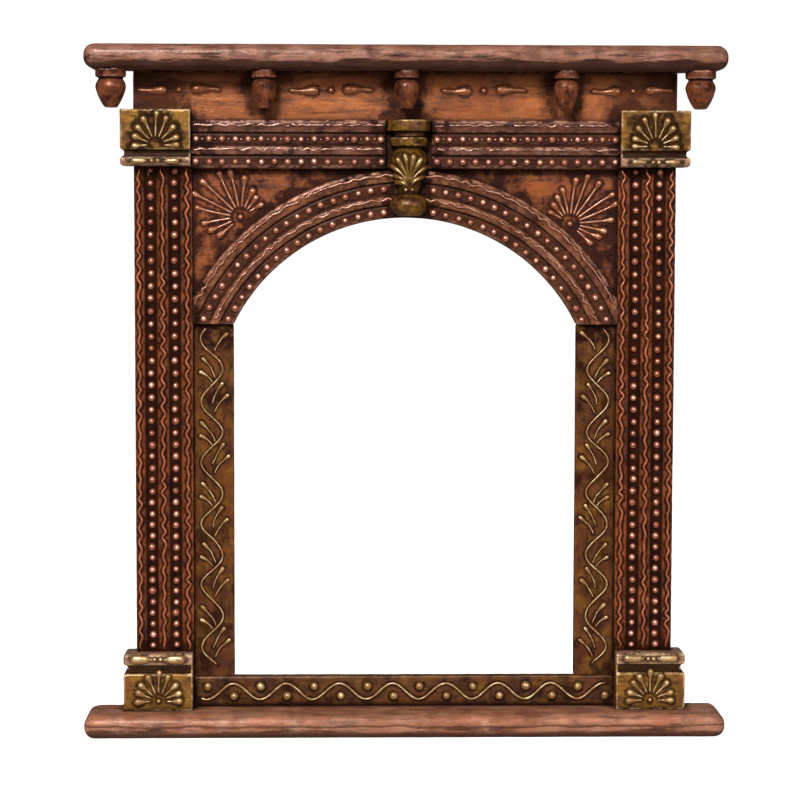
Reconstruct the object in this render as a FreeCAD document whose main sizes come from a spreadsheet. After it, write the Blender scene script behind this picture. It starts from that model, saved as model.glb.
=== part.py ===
import FreeCAD, Part
import math
import os
import re
import Sketcher

# A small carved wall arch of painted wood: two fluted posts on a base board, a frieze and
# a shelf over them, an arched lining between the posts, and applied mouldings.
# Millimetres, +Z up, front towards -Y, origin at the middle of the underside.

SIZES = {
    # Boards and posts
    "base_overhang": 33.5,
    "shelf_overhang": 30.5,
    "board_depth": 40,
    "board_thickness": 16,
    "board_rounding": 7.2,
    "post_height": 368,
    "post_width": 38.4,
    "post_thickness": 12,
    # Flutes down the front of each post
    "flute_margin": 5.8,
    "flute_width": 10,
    "flute_ridge": 5.8,
    "flute_sink": 2.5,
    "flute_run_in": 3,
    # Arched lining between the posts
    "lining_thickness": 8,
    "rail_height": 20.5,
    "stile_width": 26.9,
    "opening_width": 229.4,
    "arch_rise": 71,
    "crown_gap": 0.8,
    # Frieze board, which drops between the post tops, and the mouldings
    "frieze_height": 64,
    "post_lap": 6,
    "moulding_width": 31.6,
    "moulding_thickness": 6,
    "bead_band": 7.3,
    "band_sink": 2,
    "fine_groove": 1.4,
    "groove_sink": 3,
    "low_ridge": 5.6,
    "upper_band": 6.3,
    # Capitals and plinths wrapped round the posts
    "block_depth": 22,
    "block_return": 8.2,
    "block_inset": 0.6,
    "block_neck_sink": 2.5,
    "block_rounding": 2.2,
    "capital_drop": 25.8,
    "capital_ledge": 6.3,
    "capital_neck": 4.2,
    "capital_face": 26.5,
    "plinth_face": 25.5,
    "plinth_shoulder": 2.4,
    "plinth_neck": 4.8,
    "plinth_roll": 8,
    # Split turning over the crown of the arch
    "keystone_shift": 2,
    "keystone_axis": 14,
    "keystone_clearance": 0.3,
    "cap_disc_diameter": 30,
    "cap_disc_height": 7.1,
    "cap_neck_diameter": 21,
    "cap_neck_height": 4.5,
    "lower_disc_diameter": 25,
    "lower_disc_height": 5.4,
    "vase_collar_diameter": 18,
    "vase_collar_height": 2.3,
    "vase_diameter": 24.6,
    "vase_shoulder": 8.4,
    "vase_foot_diameter": 13,
    "vase_taper": 21,
    "ball_diameter": 25.4,
    "ball_height": 14.3,
    # Turned drops under the shelf
    "drop_axis": 26,
    "outer_drop_reach": 13.5,
    "inner_drop_spacing": 99.2,
    "inner_drop_shift": 5.8,
    "outer_drop_diameter": 20,
    "inner_drop_diameter": 16,
    "drop_tip_diameter": 8,
    "drop_tip_height": 13.5,
    "drop_shoulder": 4.8,
    "drop_neck_height": 1.4,
    "drop_neck_sink": 2.2,
    "drop_collar_height": 5.3,
    "spigot_diameter": 6,
    "spigot_length": 9,
    # Dowels, each half in either piece
    "dowel_diameter": 6,
    "dowel_length": 24,
    "dowel_spacing": 20,
    "bore_end_gap": 0.5,
    "pin_diameter": 4,
    "pin_length": 16,
    "peg_clearance": 0.5,
    "stile_pin_inset": 40,
    "spandrel_pin_rise": 60,
    "keystone_dowel_low": 8,
    "keystone_dowel_high": 22,
    # Hanging plates let into the back of the frieze, over the posts
    "plate_width": 14,
    "plate_height": 34,
    "plate_thickness": 1.5,
    "plate_drop": 39,
    "nail_hole_diameter": 8,
    "nail_head_room": 3,
    "screw_spacing": 24,
    "screw_diameter": 2.8,
    "screw_head_diameter": 5.5,
    "screw_length": 8,
    "screw_slot_width": 0.8,
    "screw_slot_sink": 0.5,
}

doc = FreeCAD.newDocument("wall_arch")
sheet = doc.addObject("Spreadsheet::Sheet", "Sizes")
for row, (alias, size) in enumerate(SIZES.items(), start=1):
    sheet.set(f"A{row}", alias)
    sheet.set(f"B{row}", str(size))
    sheet.setAlias(f"B{row}", alias)
doc.recompute()

# Places that several pieces share, worked out from the sheet
HALF_OPENING = "(opening_width / 2)"
HALF_GAP = "(opening_width / 2 + stile_width)"
POST_MIDDLE = f"({HALF_GAP} + post_width / 2)"
BASE_LENGTH = f"(2 * ({HALF_GAP} + post_width + base_overhang))"
SHELF_LENGTH = f"(2 * ({HALF_GAP} + post_width + shelf_overhang))"
OUTER_DROP = f"({HALF_GAP} + post_width + outer_drop_reach)"
POST_TOP = "(board_thickness + post_height)"
BACK = "(board_depth / 2)"
RAIL_TOP = "(board_thickness + rail_height)"
RAIL_PIN = "(dowel_length / 2 + bore_end_gap + peg_clearance + pin_diameter / 2)"
FRIEZE_BOTTOM = f"({POST_TOP} - post_lap)"
SHELF_BOTTOM = f"({FRIEZE_BOTTOM} + frieze_height)"
ARCH_RADIUS = "((opening_width ^ 2 / 4 + arch_rise ^ 2) / (2 * arch_rise))"
ARCH_DROP = f"({ARCH_RADIUS} - arch_rise)"
ARCH_OUTER = f"({ARCH_RADIUS} + moulding_width)"
SPRINGING = f"({FRIEZE_BOTTOM} - crown_gap - moulding_width - arch_rise)"
CAPITAL_HEIGHT = "(capital_ledge + capital_neck + capital_face)"
CAPITAL_BOTTOM = f"({SHELF_BOTTOM} - capital_drop - {CAPITAL_HEIGHT})"
PLINTH_HEIGHT = "(plinth_face + plinth_neck + plinth_roll)"
BLOCK_EDGE = f"({HALF_GAP} + block_inset)"
BLOCK_WIDTH = "(post_width - block_inset + block_return)"
BLOCK_FRONT = "(block_depth - post_thickness)"
KEYSTONE_HALF = "(cap_disc_diameter / 2 + keystone_clearance)"
KEYSTONE_TOP = f"({FRIEZE_BOTTOM} + moulding_width)"
PLATE_MIDDLE = f"({SHELF_BOTTOM} - plate_drop)"


def cells(expression):
    """The expression with every size pointing at its cell of the sheet."""
    return re.sub(r"[a-z_]+", lambda m: f"Sizes.{m[0]}" if m[0] in SIZES else m[0], expression)


def value(expression):
    """The number that an expression of sizes gives."""
    return float(sheet.evalExpression(cells(expression)))


def bind(thing, **properties):
    """Binds properties to expressions; a dot in a property's path is written as two lines."""
    for path, expression in properties.items():
        thing.setExpression(path.replace("__", "."), cells(expression))


def place(thing, across, back, up):
    """Binds where a sub-part's own origin lies."""
    bind(thing, Placement__Base__x=across, Placement__Base__y=back, Placement__Base__z=up)
    return thing


def behind(front_distance):
    """The Y of a plane that lies this far in front of the back."""
    return f"{BACK} - ({front_distance})"


def new_body(label, across, back, up):
    return place(doc.addObject("PartDesign::Body", label), across, back, up)


def origin_plane(body, role):
    return next(f for f in body.Origin.OriginFeatures if f.Role == role)


def new_sketch(body, name, role, lift):
    sketch = body.newObject("Sketcher::SketchObject", name)
    sketch.AttachmentSupport = [(origin_plane(body, role), "")]
    sketch.MapMode = "FlatFace"
    bind(sketch, AttachmentOffset__Base__z=lift)
    return sketch


def fix_point(sketch, side, end, axis, expression):
    """Holds one point of a sketch at a distance from the sketch's origin along one axis."""
    if expression == "0":
        line = -2 if axis == "X" else -1
        sketch.addConstraint(Sketcher.Constraint("PointOnObject", side, end, line))
        return
    rule = Sketcher.Constraint(f"Distance{axis}", -1, 1, side, end, value(expression))
    index = sketch.addConstraint(rule)
    sketch.setExpression(f"Constraints[{index}]", cells(expression))


def fix_radius(sketch, side, expression):
    """Holds the radius of one arc or circle of a sketch."""
    index = sketch.addConstraint(Sketcher.Constraint("Radius", side, value(expression)))
    sketch.setExpression(f"Constraints[{index}]", cells(expression))


def bent_side(start, end, radius, turn):
    """An arc between two points that bulges to the left (turn 1) or the right (turn -1)."""
    chord = end - start
    sagitta = radius - math.sqrt(radius**2 - chord.Length**2 / 4)
    normal = FreeCAD.Vector(-chord.y, chord.x, 0).normalize()
    return Part.Arc(start, (start + end) / 2 + normal * sagitta * turn, end)


def outline(body, name, role, corners, lift="0"):
    """A closed sketch through corners given as (across, up) or, where the side that leaves
    the corner is an arc, (across, up, radius, turn)."""
    sketch = new_sketch(body, name, role, lift)
    points = [FreeCAD.Vector(value(c[0]), value(c[1]), 0) for c in corners]
    ends = []
    for index, corner in enumerate(corners):
        start = points[index]
        end = points[(index + 1) % len(points)]
        if len(corner) == 2:
            sketch.addGeometry(Part.LineSegment(start, end), False)
            ends.append((1, 2))
            continue
        sketch.addGeometry(bent_side(start, end, value(corner[2]), corner[3]), False)
        forward = (sketch.getPoint(index, 1) - start).Length < 1e-6
        ends.append((1, 2) if forward else (2, 1))
    for index, corner in enumerate(corners):
        before = index - 1 if index else len(corners) - 1
        joint = Sketcher.Constraint("Coincident", before, ends[before][1], index, ends[index][0])
        sketch.addConstraint(joint)
        fix_point(sketch, index, ends[index][0], "X", corner[0])
        fix_point(sketch, index, ends[index][0], "Y", corner[1])
        if len(corner) == 4:
            fix_radius(sketch, index, corner[2])
    return sketch


def rectangle(body, name, role, left, bottom, right, top, lift="0"):
    corners = [(left, bottom), (right, bottom), (right, top), (left, top)]
    return outline(body, name, role, corners, lift)


def pad(body, sketch, name, length):
    feature = body.newObject("PartDesign::Pad", name)
    feature.Profile = sketch
    bind(feature, Length=length)
    sketch.Visibility = False
    doc.recompute()
    return feature


def pocket(body, sketch, name, length, backwards=False):
    """Cuts a sketch into the body and makes sure that it removed something."""
    before = body.Shape.Volume
    feature = body.newObject("PartDesign::Pocket", name)
    feature.Profile = sketch
    feature.Reversed = backwards
    bind(feature, Length=length)
    doc.recompute()
    if body.Shape.Volume > before - 1:
        raise RuntimeError(f"{name} cuts nothing")
    return feature


def fillet(body, base, name, radius, chosen):
    """Rounds the edges of a feature whose middles pass the test."""
    edges = [
        f"Edge{number}"
        for number, edge in enumerate(base.Shape.Edges, start=1)
        if chosen(edge.CenterOfMass)
    ]
    feature = body.newObject("PartDesign::Fillet", name)
    feature.Base = (base, edges)
    bind(feature, Radius=radius)
    doc.recompute()
    return feature


def near(one, other):
    return abs(one - other) < 1e-4


def compound(label, pieces):
    group = doc.addObject("Part::Compound", label)
    group.Links = pieces
    return group


def cut(label, base, tools):
    """A sub-part with tools taken out of it."""
    result = doc.addObject("Part::Cut", label)
    result.Base = base
    result.Tool = tools[0] if len(tools) == 1 else compound(f"{label}_tools", tools)
    return result


def mirrored(label, source):
    """The left-hand twin of a right-hand piece."""
    twin = doc.addObject("Part::Mirroring", label)
    twin.Source = source
    twin.Normal = (1, 0, 0)
    return twin


AXIS_TURNS = {
    "X": FreeCAD.Rotation(FreeCAD.Vector(0, 1, 0), 90),
    "Y": FreeCAD.Rotation(FreeCAD.Vector(1, 0, 0), 90),
    "Z": FreeCAD.Rotation(),
}
AXIS_STARTS = {
    "X": ("{0} - ({3}) / 2", "{1}", "{2}"),
    "Y": ("{0}", "{1} + ({3}) / 2", "{2}"),
    "Z": ("{0}", "{1}", "{2} - ({3}) / 2"),
}


def rod(label, middle, axis, diameter, length):
    """A cylinder about its middle point along X, Y or Z."""
    cylinder = doc.addObject("Part::Cylinder", label)
    cylinder.Placement = FreeCAD.Placement(FreeCAD.Vector(), AXIS_TURNS[axis])
    bind(cylinder, Radius=f"({diameter}) / 2", Height=length)
    start = [part.format(*middle, length) for part in AXIS_STARTS[axis]]
    return place(cylinder, *start)


def dowel_group(label, middles, axis, diameter, length):
    """Dowels with half of each in either piece, and the slightly deeper bores for them."""
    bore_length = f"{length} + 2 * bore_end_gap"
    dowels = []
    bores = []
    for number, middle in enumerate(middles, start=1):
        dowels.append(rod(f"{label}_dowel_{number}", middle, axis, diameter, length))
        bores.append(rod(f"{label}_bore_{number}", middle, axis, diameter, bore_length))
    return compound(f"{label}_dowels", dowels), compound(f"{label}_bores", bores)


def both_sides(place_on_right):
    """A distance from the middle plane on the right and on the left."""
    return (place_on_right, f"-({place_on_right})")


def board(label, length, up):
    """A board whose front and ends are rounded over above and below."""
    body = new_body(label, f"-({length}) / 2", f"-{BACK}", up)
    plan = rectangle(body, f"{label}_plan", "XY_Plane", "0", "0", length, "board_depth")
    block = pad(body, plan, f"{label}_block", "board_thickness")
    long_side = value(length)
    deep = value("board_depth")
    thick = value("board_thickness")

    def on_rim(point):
        level = near(point.z, 0) or near(point.z, thick)
        return level and (near(point.y, 0) or near(point.x, 0) or near(point.x, long_side))

    def on_front_corner(point):
        return near(point.z, thick / 2) and point.y < deep / 2

    corners = fillet(body, block, f"{label}_corners", "board_rounding", on_front_corner)
    deep_corner = value("board_rounding")

    def on_rounded_rim(point):
        level = near(point.z, 0) or near(point.z, thick)
        corner = point.y < deep_corner and not deep_corner < point.x < long_side - deep_corner
        return level and (on_rim(point) or corner)

    fillet(body, corners, f"{label}_rounding", "board_rounding - 0.2", on_rounded_rim)
    return body


def right_post_blank():
    """The right post with its two flutes, which run in a little behind plinth and capital."""
    body = new_body("right_post_blank", HALF_GAP, behind("post_thickness"), "board_thickness")
    plan = rectangle(body, "post_plan", "XY_Plane", "0", "0", "post_width", "post_thickness")
    pad(body, plan, "post_bar", "post_height")
    start = f"{PLINTH_HEIGHT} - flute_run_in"
    length = f"{CAPITAL_BOTTOM} - board_thickness + flute_run_in - ({start})"
    radius = "(flute_width ^ 2 / 4 + flute_sink ^ 2) / (2 * flute_sink)"
    before_face = f"{radius} - flute_sink"
    outer = "post_width - flute_margin - flute_width / 2"
    inner = f"{outer} - flute_width - flute_ridge"
    sketch = new_sketch(body, "flute_circles", "XY_Plane", start)
    for index, across in enumerate((outer, inner)):
        centre = FreeCAD.Vector(value(across), -value(before_face), 0)
        circle = Part.Circle(centre, FreeCAD.Vector(0, 0, 1), value(radius))
        sketch.addGeometry(circle, False)
        fix_point(sketch, index, 3, "X", across)
        ahead = Sketcher.Constraint("DistanceY", index, 3, -1, 1, value(before_face))
        rule = sketch.addConstraint(ahead)
        sketch.setExpression(f"Constraints[{rule}]", cells(before_face))
        fix_radius(sketch, index, radius)
    pocket(body, sketch, "flutes", length, backwards=True)
    return body


def flat_piece(label, across, front_distance, up, width, height, thickness):
    """A plain upright board whose back lies front_distance from the back plane."""
    body = new_body(label, across, behind(front_distance), up)
    face = rectangle(body, f"{label}_face", "XZ_Plane", "0", "0", width, height)
    pad(body, face, f"{label}_board", thickness)
    return body


def frieze_blank():
    """The frieze across both posts, with a lower part that fits between their tops."""
    left_end = f"-{HALF_GAP} - post_width"
    body = new_body("frieze_blank", left_end, behind("0"), FRIEZE_BOTTOM)
    inner_end = f"post_width + 2 * {HALF_GAP}"
    full_length = f"2 * ({HALF_GAP} + post_width)"
    corners = [
        ("post_width", "0"),
        (inner_end, "0"),
        (inner_end, "post_lap"),
        (full_length, "post_lap"),
        (full_length, "frieze_height"),
        ("0", "frieze_height"),
        ("0", "post_lap"),
        ("post_width", "post_lap"),
    ]
    face = outline(body, "frieze_face", "XZ_Plane", corners)
    pad(body, face, "frieze_panel", "post_thickness")
    return body


def right_spandrel_blank():
    """The right half of the arched panel, from the springing up to the frieze."""
    body = new_body("right_spandrel_blank", "0", behind("0"), f"{SPRINGING} - {ARCH_DROP}")
    top = f"{FRIEZE_BOTTOM} - {SPRINGING} + {ARCH_DROP}"
    corners = [
        (HALF_OPENING, ARCH_DROP),
        (HALF_GAP, ARCH_DROP),
        (HALF_GAP, top),
        ("0", top),
        ("0", ARCH_RADIUS, ARCH_RADIUS, 1),
    ]
    face = outline(body, "spandrel_face", "XZ_Plane", corners)
    pad(body, face, "spandrel_panel", "lining_thickness")
    return body


SUNK_BANDS = {
    # Each sunk band of the moulding from its lower edge: (start, end, sink)
    "bead_band": ("0", "bead_band", "band_sink"),
    "lower_groove": ("bead_band", "bead_band + fine_groove", "groove_sink"),
    "middle_groove": (
        "bead_band + fine_groove + low_ridge",
        "bead_band + 2 * fine_groove + low_ridge",
        "groove_sink",
    ),
    "upper_band": (
        "bead_band + 2 * fine_groove + low_ridge",
        "bead_band + 2 * fine_groove + low_ridge + upper_band",
        "band_sink",
    ),
    "upper_groove": (
        "bead_band + 2 * fine_groove + low_ridge + upper_band",
        "bead_band + 3 * fine_groove + low_ridge + upper_band",
        "groove_sink",
    ),
}


def right_arch_moulding():
    """The right half of the moulding round the arch, cut off level at the springing and
    along the post, with its bands and grooves sunk in rings about the arch's centre."""
    up = f"{SPRINGING} - {ARCH_DROP}"
    body = new_body("arch_half", "0", behind("lining_thickness"), up)
    corners = [
        (HALF_OPENING, ARCH_DROP),
        (f"sqrt({ARCH_OUTER} ^ 2 - {ARCH_DROP} ^ 2)", ARCH_DROP, ARCH_OUTER, -1),
        ("0", ARCH_OUTER),
        ("0", ARCH_RADIUS, ARCH_RADIUS, 1),
    ]
    face = outline(body, "arch_band", "XZ_Plane", corners)
    pad(body, face, "arch_block", "moulding_thickness")
    for name, (start, end, sink) in SUNK_BANDS.items():
        sketch = new_sketch(body, f"arch_{name}_rings", "XZ_Plane", "moulding_thickness")
        for index, offset in enumerate((start, end)):
            radius = f"{ARCH_RADIUS} + {offset}"
            ring = Part.Circle(FreeCAD.Vector(), FreeCAD.Vector(0, 0, 1), value(radius))
            sketch.addGeometry(ring, False)
            sketch.addConstraint(Sketcher.Constraint("Coincident", index, 3, -1, 1))
            fix_radius(sketch, index, radius)
        pocket(body, sketch, f"arch_{name}", sink)
    between_posts = box(
        "between_posts", "0", behind("lining_thickness + moulding_thickness"), up,
        HALF_GAP, "moulding_thickness", ARCH_OUTER,
    )
    moulding = doc.addObject("Part::Common", "right_arch_moulding")
    moulding.Base = body
    moulding.Tool = between_posts
    return moulding


def architrave(label, left_end, right_end):
    """A straight length of the same moulding along the foot of the frieze."""
    length = f"({right_end}) - ({left_end})"
    body = new_body(label, left_end, behind("post_thickness"), FRIEZE_BOTTOM)
    face = rectangle(body, f"{label}_face", "XZ_Plane", "0", "0", length, "moulding_width")
    pad(body, face, f"{label}_block", "moulding_thickness")
    for name, (start, end, sink) in SUNK_BANDS.items():
        band = rectangle(
            body, f"{label}_{name}_strip", "XZ_Plane", "0", start, length, end,
            lift="moulding_thickness",
        )
        pocket(body, band, f"{label}_{name}", sink)
    return body


def wrapped_block(label, up, layers, roundings):
    """A block that wraps the front and outer side of the right post. Layers are given from
    below as (height, sink); roundings as (height of the edge, radius)."""
    body = new_body(label, BLOCK_EDGE, behind("block_depth"), up)
    level = "0"
    for number, (height, sink) in enumerate(layers, start=1):
        outer = f"{BLOCK_WIDTH} - {sink}"
        corners = [
            ("0", sink),
            (outer, sink),
            (outer, "block_depth"),
            ("post_width - block_inset", "block_depth"),
            ("post_width - block_inset", BLOCK_FRONT),
            ("0", BLOCK_FRONT),
        ]
        plan = outline(body, f"{label}_plan_{number}", "XY_Plane", corners, lift=level)
        layer = pad(body, plan, f"{label}_layer_{number}", height)
        level = f"{level} + {height}"
    width = value(BLOCK_WIDTH)
    for number, (edge_height, radius) in enumerate(roundings, start=1):
        height = value(edge_height)

        def on_front_or_side(point):
            return near(point.z, height) and (near(point.y, 0) or near(point.x, width))

        layer = fillet(body, layer, f"{label}_rounding_{number}", radius, on_front_or_side)
    return body


def turned(label, across, front_distance, up, corners):
    """A piece turned about its own upright axis."""
    body = new_body(label, across, behind(front_distance), up)
    profile = outline(body, f"{label}_profile", "XZ_Plane", corners)
    feature = body.newObject("PartDesign::Revolution", f"{label}_turning")
    feature.Profile = profile
    feature.ReferenceAxis = (profile, ["V_Axis"])
    feature.Angle = 360
    doc.recompute()
    return body


def keystone_blank():
    """The whole turning, from the flattened ball up to the cap disc."""
    levels = {"ball": "ball_height"}
    levels["shoulder"] = f"{levels['ball']} + vase_taper"
    levels["vase"] = f"{levels['shoulder']} + vase_shoulder"
    levels["collar"] = f"{levels['vase']} + vase_collar_height"
    levels["lower_disc"] = f"{levels['collar']} + lower_disc_height"
    levels["neck"] = f"{levels['lower_disc']} + cap_neck_height"
    levels["cap"] = f"{levels['neck']} + cap_disc_height"
    half_height = "ball_height / 2"
    ball_curve = f"({half_height}) * 1.15"
    corners = [
        ("0", "0"),
        ("ball_diameter / 2 - ball_height / 2", "0", ball_curve, -1),
        ("ball_diameter / 2", half_height, ball_curve, -1),
        ("ball_diameter / 2 - ball_height / 2", levels["ball"]),
        ("vase_foot_diameter / 2", levels["ball"]),
        ("vase_foot_diameter / 2", f"{levels['ball']} + 1"),
        ("vase_diameter / 2", levels["shoulder"], "vase_diameter / 2 * 0.8", -1),
        ("vase_collar_diameter / 2", levels["vase"]),
        ("vase_collar_diameter / 2", levels["collar"]),
        ("lower_disc_diameter / 2", levels["collar"]),
        ("lower_disc_diameter / 2", levels["lower_disc"]),
        ("cap_neck_diameter / 2", levels["lower_disc"]),
        ("cap_neck_diameter / 2", levels["neck"]),
        ("cap_disc_diameter / 2", levels["neck"]),
        ("cap_disc_diameter / 2", levels["cap"]),
        ("0", levels["cap"]),
    ]
    height = levels["cap"]
    start = f"{KEYSTONE_TOP} - ({height})"
    return turned("keystone_blank", "keystone_shift", "keystone_axis", start, corners), height


def drop(label, across, diameter):
    """An acorn-shaped drop with a collar, hung from the shelf by a spigot."""
    tip = "drop_tip_height"
    shoulder = f"{tip} + drop_shoulder"
    neck = f"{shoulder} + drop_neck_height"
    collar = f"{neck} + drop_collar_height"
    neck_radius = f"{diameter} / 2 - drop_neck_sink"
    corners = [
        ("0", "0"),
        ("drop_tip_diameter / 2", "0", f"{tip} * 2.5", -1),
        (f"{diameter} / 2", tip, f"{diameter} / 2 * 0.8", -1),
        (neck_radius, shoulder),
        (neck_radius, neck),
        (f"{diameter} / 2", neck),
        (f"{diameter} / 2", collar),
        ("spigot_diameter / 2", collar),
        ("spigot_diameter / 2", f"{collar} + spigot_length"),
        ("0", f"{collar} + spigot_length"),
    ]
    return turned(label, across, "drop_axis", f"{SHELF_BOTTOM} - ({collar})", corners)


def box(label, across, back, up, width, depth, height):
    block = doc.addObject("Part::Box", label)
    bind(block, Length=width, Width=depth, Height=height)
    return place(block, across, back, up)


# Dowels and the bores for them
post_pegs = []
for side in both_sides(POST_MIDDLE):
    for step in both_sides("dowel_spacing / 2"):
        post_pegs.append(f"{side} + {step}")
mid_post = behind("post_thickness / 2")
mid_lining = behind("lining_thickness / 2")
inner_edges = both_sides(HALF_GAP)
base_dowels, base_bores = dowel_group(
    "base", [(x, mid_post, "board_thickness") for x in post_pegs],
    "Z", "dowel_diameter", "dowel_length",
)
shelf_dowels, shelf_bores = dowel_group(
    "shelf", [(x, mid_post, SHELF_BOTTOM) for x in post_pegs],
    "Z", "dowel_diameter", "dowel_length",
)
frieze_dowels, frieze_bores = dowel_group(
    "frieze", [(x, mid_post, POST_TOP) for x in post_pegs],
    "Z", "dowel_diameter", "dowel_length",
)
lining_levels = [
    f"board_thickness + {RAIL_PIN}",
    f"{RAIL_TOP} + stile_pin_inset",
    f"{SPRINGING} - stile_pin_inset",
    f"{SPRINGING} + spandrel_pin_rise",
]
lining_dowels, lining_bores = dowel_group(
    "lining", [(x, mid_lining, z) for x in inner_edges for z in lining_levels],
    "X", "pin_diameter", "pin_length",
)
keystone_levels = [
    f"{FRIEZE_BOTTOM} + keystone_dowel_low",
    f"{FRIEZE_BOTTOM} + keystone_dowel_high",
]
keystone_dowels, keystone_bores = dowel_group(
    "keystone", [("keystone_shift", behind("post_thickness"), z) for z in keystone_levels],
    "Y", "pin_diameter", "pin_length",
)

# Hanging plates: the right one is made and mirrored, and its screws with it
screws = []
screw_holes = []
for number, step in enumerate(both_sides("screw_spacing / 2"), start=1):
    middle_up = f"{PLATE_MIDDLE} + {step}"
    shank = rod(
        f"shank_{number}",
        (POST_MIDDLE, behind("screw_length / 2"), middle_up),
        "Y", "screw_diameter", "screw_length",
    )
    head = doc.addObject("Part::Cone", f"head_{number}")
    head.Placement = FreeCAD.Placement(FreeCAD.Vector(), AXIS_TURNS["Y"])
    bind(
        head, Radius1="screw_head_diameter / 2", Radius2="screw_diameter / 2",
        Height="plate_thickness",
    )
    place(head, POST_MIDDLE, BACK, middle_up)
    screw = doc.addObject("Part::MultiFuse", f"plain_screw_{number}")
    screw.Shapes = [shank, head]
    slot = box(
        f"slot_{number}", f"{POST_MIDDLE} - screw_head_diameter",
        f"{BACK} - screw_slot_sink", f"{middle_up} - screw_slot_width / 2",
        "screw_head_diameter * 2", "screw_slot_sink", "screw_slot_width",
    )
    screw_holes.append(screw)
    screws.append(cut(f"slotted_screw_{number}", screw, [slot]))
right_screws = compound("right_screws", screws)
left_screws = mirrored("left_screws", right_screws)
hanger_screws = compound("hanger_screws", [right_screws, left_screws])

plate_blank = flat_piece(
    "plate_blank", f"{POST_MIDDLE} - plate_width / 2", "0", f"{PLATE_MIDDLE} - plate_height / 2",
    "plate_width", "plate_height", "plate_thickness",
)
nail_hole = rod(
    "nail_hole", (POST_MIDDLE, behind("plate_thickness / 2"), PLATE_MIDDLE),
    "Y", "nail_hole_diameter", "plate_thickness",
)
nail_room_depth = "(plate_thickness + nail_head_room)"
nail_room = rod(
    "nail_room", (POST_MIDDLE, behind(f"{nail_room_depth} / 2"), PLATE_MIDDLE),
    "Y", "nail_hole_diameter + 2", nail_room_depth,
)
right_plate = cut("right_hanger_plate", plate_blank, [nail_hole] + screw_holes)

# Boards, posts and lining
base_board = cut("base_board", board("base_blank", BASE_LENGTH, "0"), [base_bores])
drop_places = {
    "left_outer_drop": (f"-{OUTER_DROP}", "outer_drop_diameter"),
    "left_inner_drop": ("inner_drop_shift - inner_drop_spacing", "inner_drop_diameter"),
    "middle_drop": ("0", "inner_drop_diameter"),
    "right_inner_drop": ("inner_drop_shift + inner_drop_spacing", "inner_drop_diameter"),
    "right_outer_drop": (OUTER_DROP, "outer_drop_diameter"),
}
drops = []
spigot_bores = []
for label, (across, diameter) in drop_places.items():
    drops.append(drop(label, across, diameter))
    spigot_bores.append(
        rod(
            f"{label}_bore",
            (across, behind("drop_axis"), f"{SHELF_BOTTOM} + (spigot_length + bore_end_gap) / 2"),
            "Z", "spigot_diameter", "spigot_length + bore_end_gap",
        )
    )
shelf_blank = board("shelf_blank", SHELF_LENGTH, SHELF_BOTTOM)
top_shelf = cut("top_shelf", shelf_blank, [shelf_bores] + spigot_bores)
right_post = cut("right_post", right_post_blank(), [base_bores, frieze_bores, lining_bores])
hanger_cuts = compound("hanger_cuts", [plate_blank, nail_room] + screw_holes)
frieze_board = cut(
    "frieze_board", frieze_blank(),
    [frieze_bores, shelf_bores, keystone_bores, hanger_cuts,
     mirrored("left_hanger_cuts", hanger_cuts)],
)
rail_blank = flat_piece(
    "rail_blank", f"-{HALF_GAP}", "0", "board_thickness", f"2 * {HALF_GAP}", "rail_height",
    "lining_thickness",
)
bottom_rail = cut("bottom_rail", rail_blank, [lining_bores])
stile_blank = flat_piece(
    "stile_blank", HALF_OPENING, "0", RAIL_TOP, "stile_width",
    f"{SPRINGING} - {RAIL_TOP}", "lining_thickness",
)
right_stile = cut("right_stile", stile_blank, [lining_bores])
right_spandrel = cut("right_spandrel", right_spandrel_blank(), [lining_bores])

# Mouldings and applied blocks
arch_right = right_arch_moulding()
left_architrave = architrave(
    "left_architrave", f"-{BLOCK_EDGE}", f"keystone_shift - {KEYSTONE_HALF}"
)
right_architrave = architrave(
    "right_architrave", f"keystone_shift + {KEYSTONE_HALF}", BLOCK_EDGE
)
right_capital = wrapped_block(
    "right_capital", CAPITAL_BOTTOM,
    [("capital_ledge", "0"), ("capital_neck", "block_neck_sink"), ("capital_face", "0")],
    [("0", "block_rounding"), ("capital_ledge", "block_rounding"),
     ("capital_ledge + capital_neck", "block_rounding * 0.7")],
)
roll_bottom = "plinth_face + plinth_neck"
right_plinth = wrapped_block(
    "right_plinth", "board_thickness",
    [("plinth_face", "0"), ("plinth_neck", "block_neck_sink"), ("plinth_roll", "0")],
    [("plinth_face", "plinth_shoulder"), (roll_bottom, "block_rounding"),
     (f"{roll_bottom} + plinth_roll", "block_rounding")],
)

# The split turning: flat against the frieze above, and against the arch moulding below
keystone_whole, keystone_height = keystone_blank()
upper_waste = box(
    "upper_waste", "keystone_shift - cap_disc_diameter", behind("post_thickness"),
    FRIEZE_BOTTOM, "2 * cap_disc_diameter", "cap_disc_diameter", "moulding_width",
)
moulding_face = "lining_thickness + moulding_thickness"
lower_waste = box(
    "lower_waste", "keystone_shift - cap_disc_diameter", behind(moulding_face),
    f"{KEYSTONE_TOP} - ({keystone_height})", "2 * cap_disc_diameter", "cap_disc_diameter",
    f"{keystone_height} - moulding_width",
)
keystone_turning = cut(
    "keystone_turning", keystone_whole, [upper_waste, lower_waste, keystone_bores]
)

nodes = [
    base_board, top_shelf, right_post, mirrored("left_post", right_post), frieze_board,
    bottom_rail, right_stile, mirrored("left_stile", right_stile),
    right_spandrel, mirrored("left_spandrel", right_spandrel),
    arch_right, mirrored("left_arch_moulding", arch_right),
    left_architrave, right_architrave,
    right_capital, mirrored("left_capital", right_capital),
    right_plinth, mirrored("left_plinth", right_plinth),
    keystone_turning, *drops,
    base_dowels, shelf_dowels, frieze_dowels, lining_dowels, keystone_dowels,
    right_plate, mirrored("left_hanger_plate", right_plate), hanger_screws,
]

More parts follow.
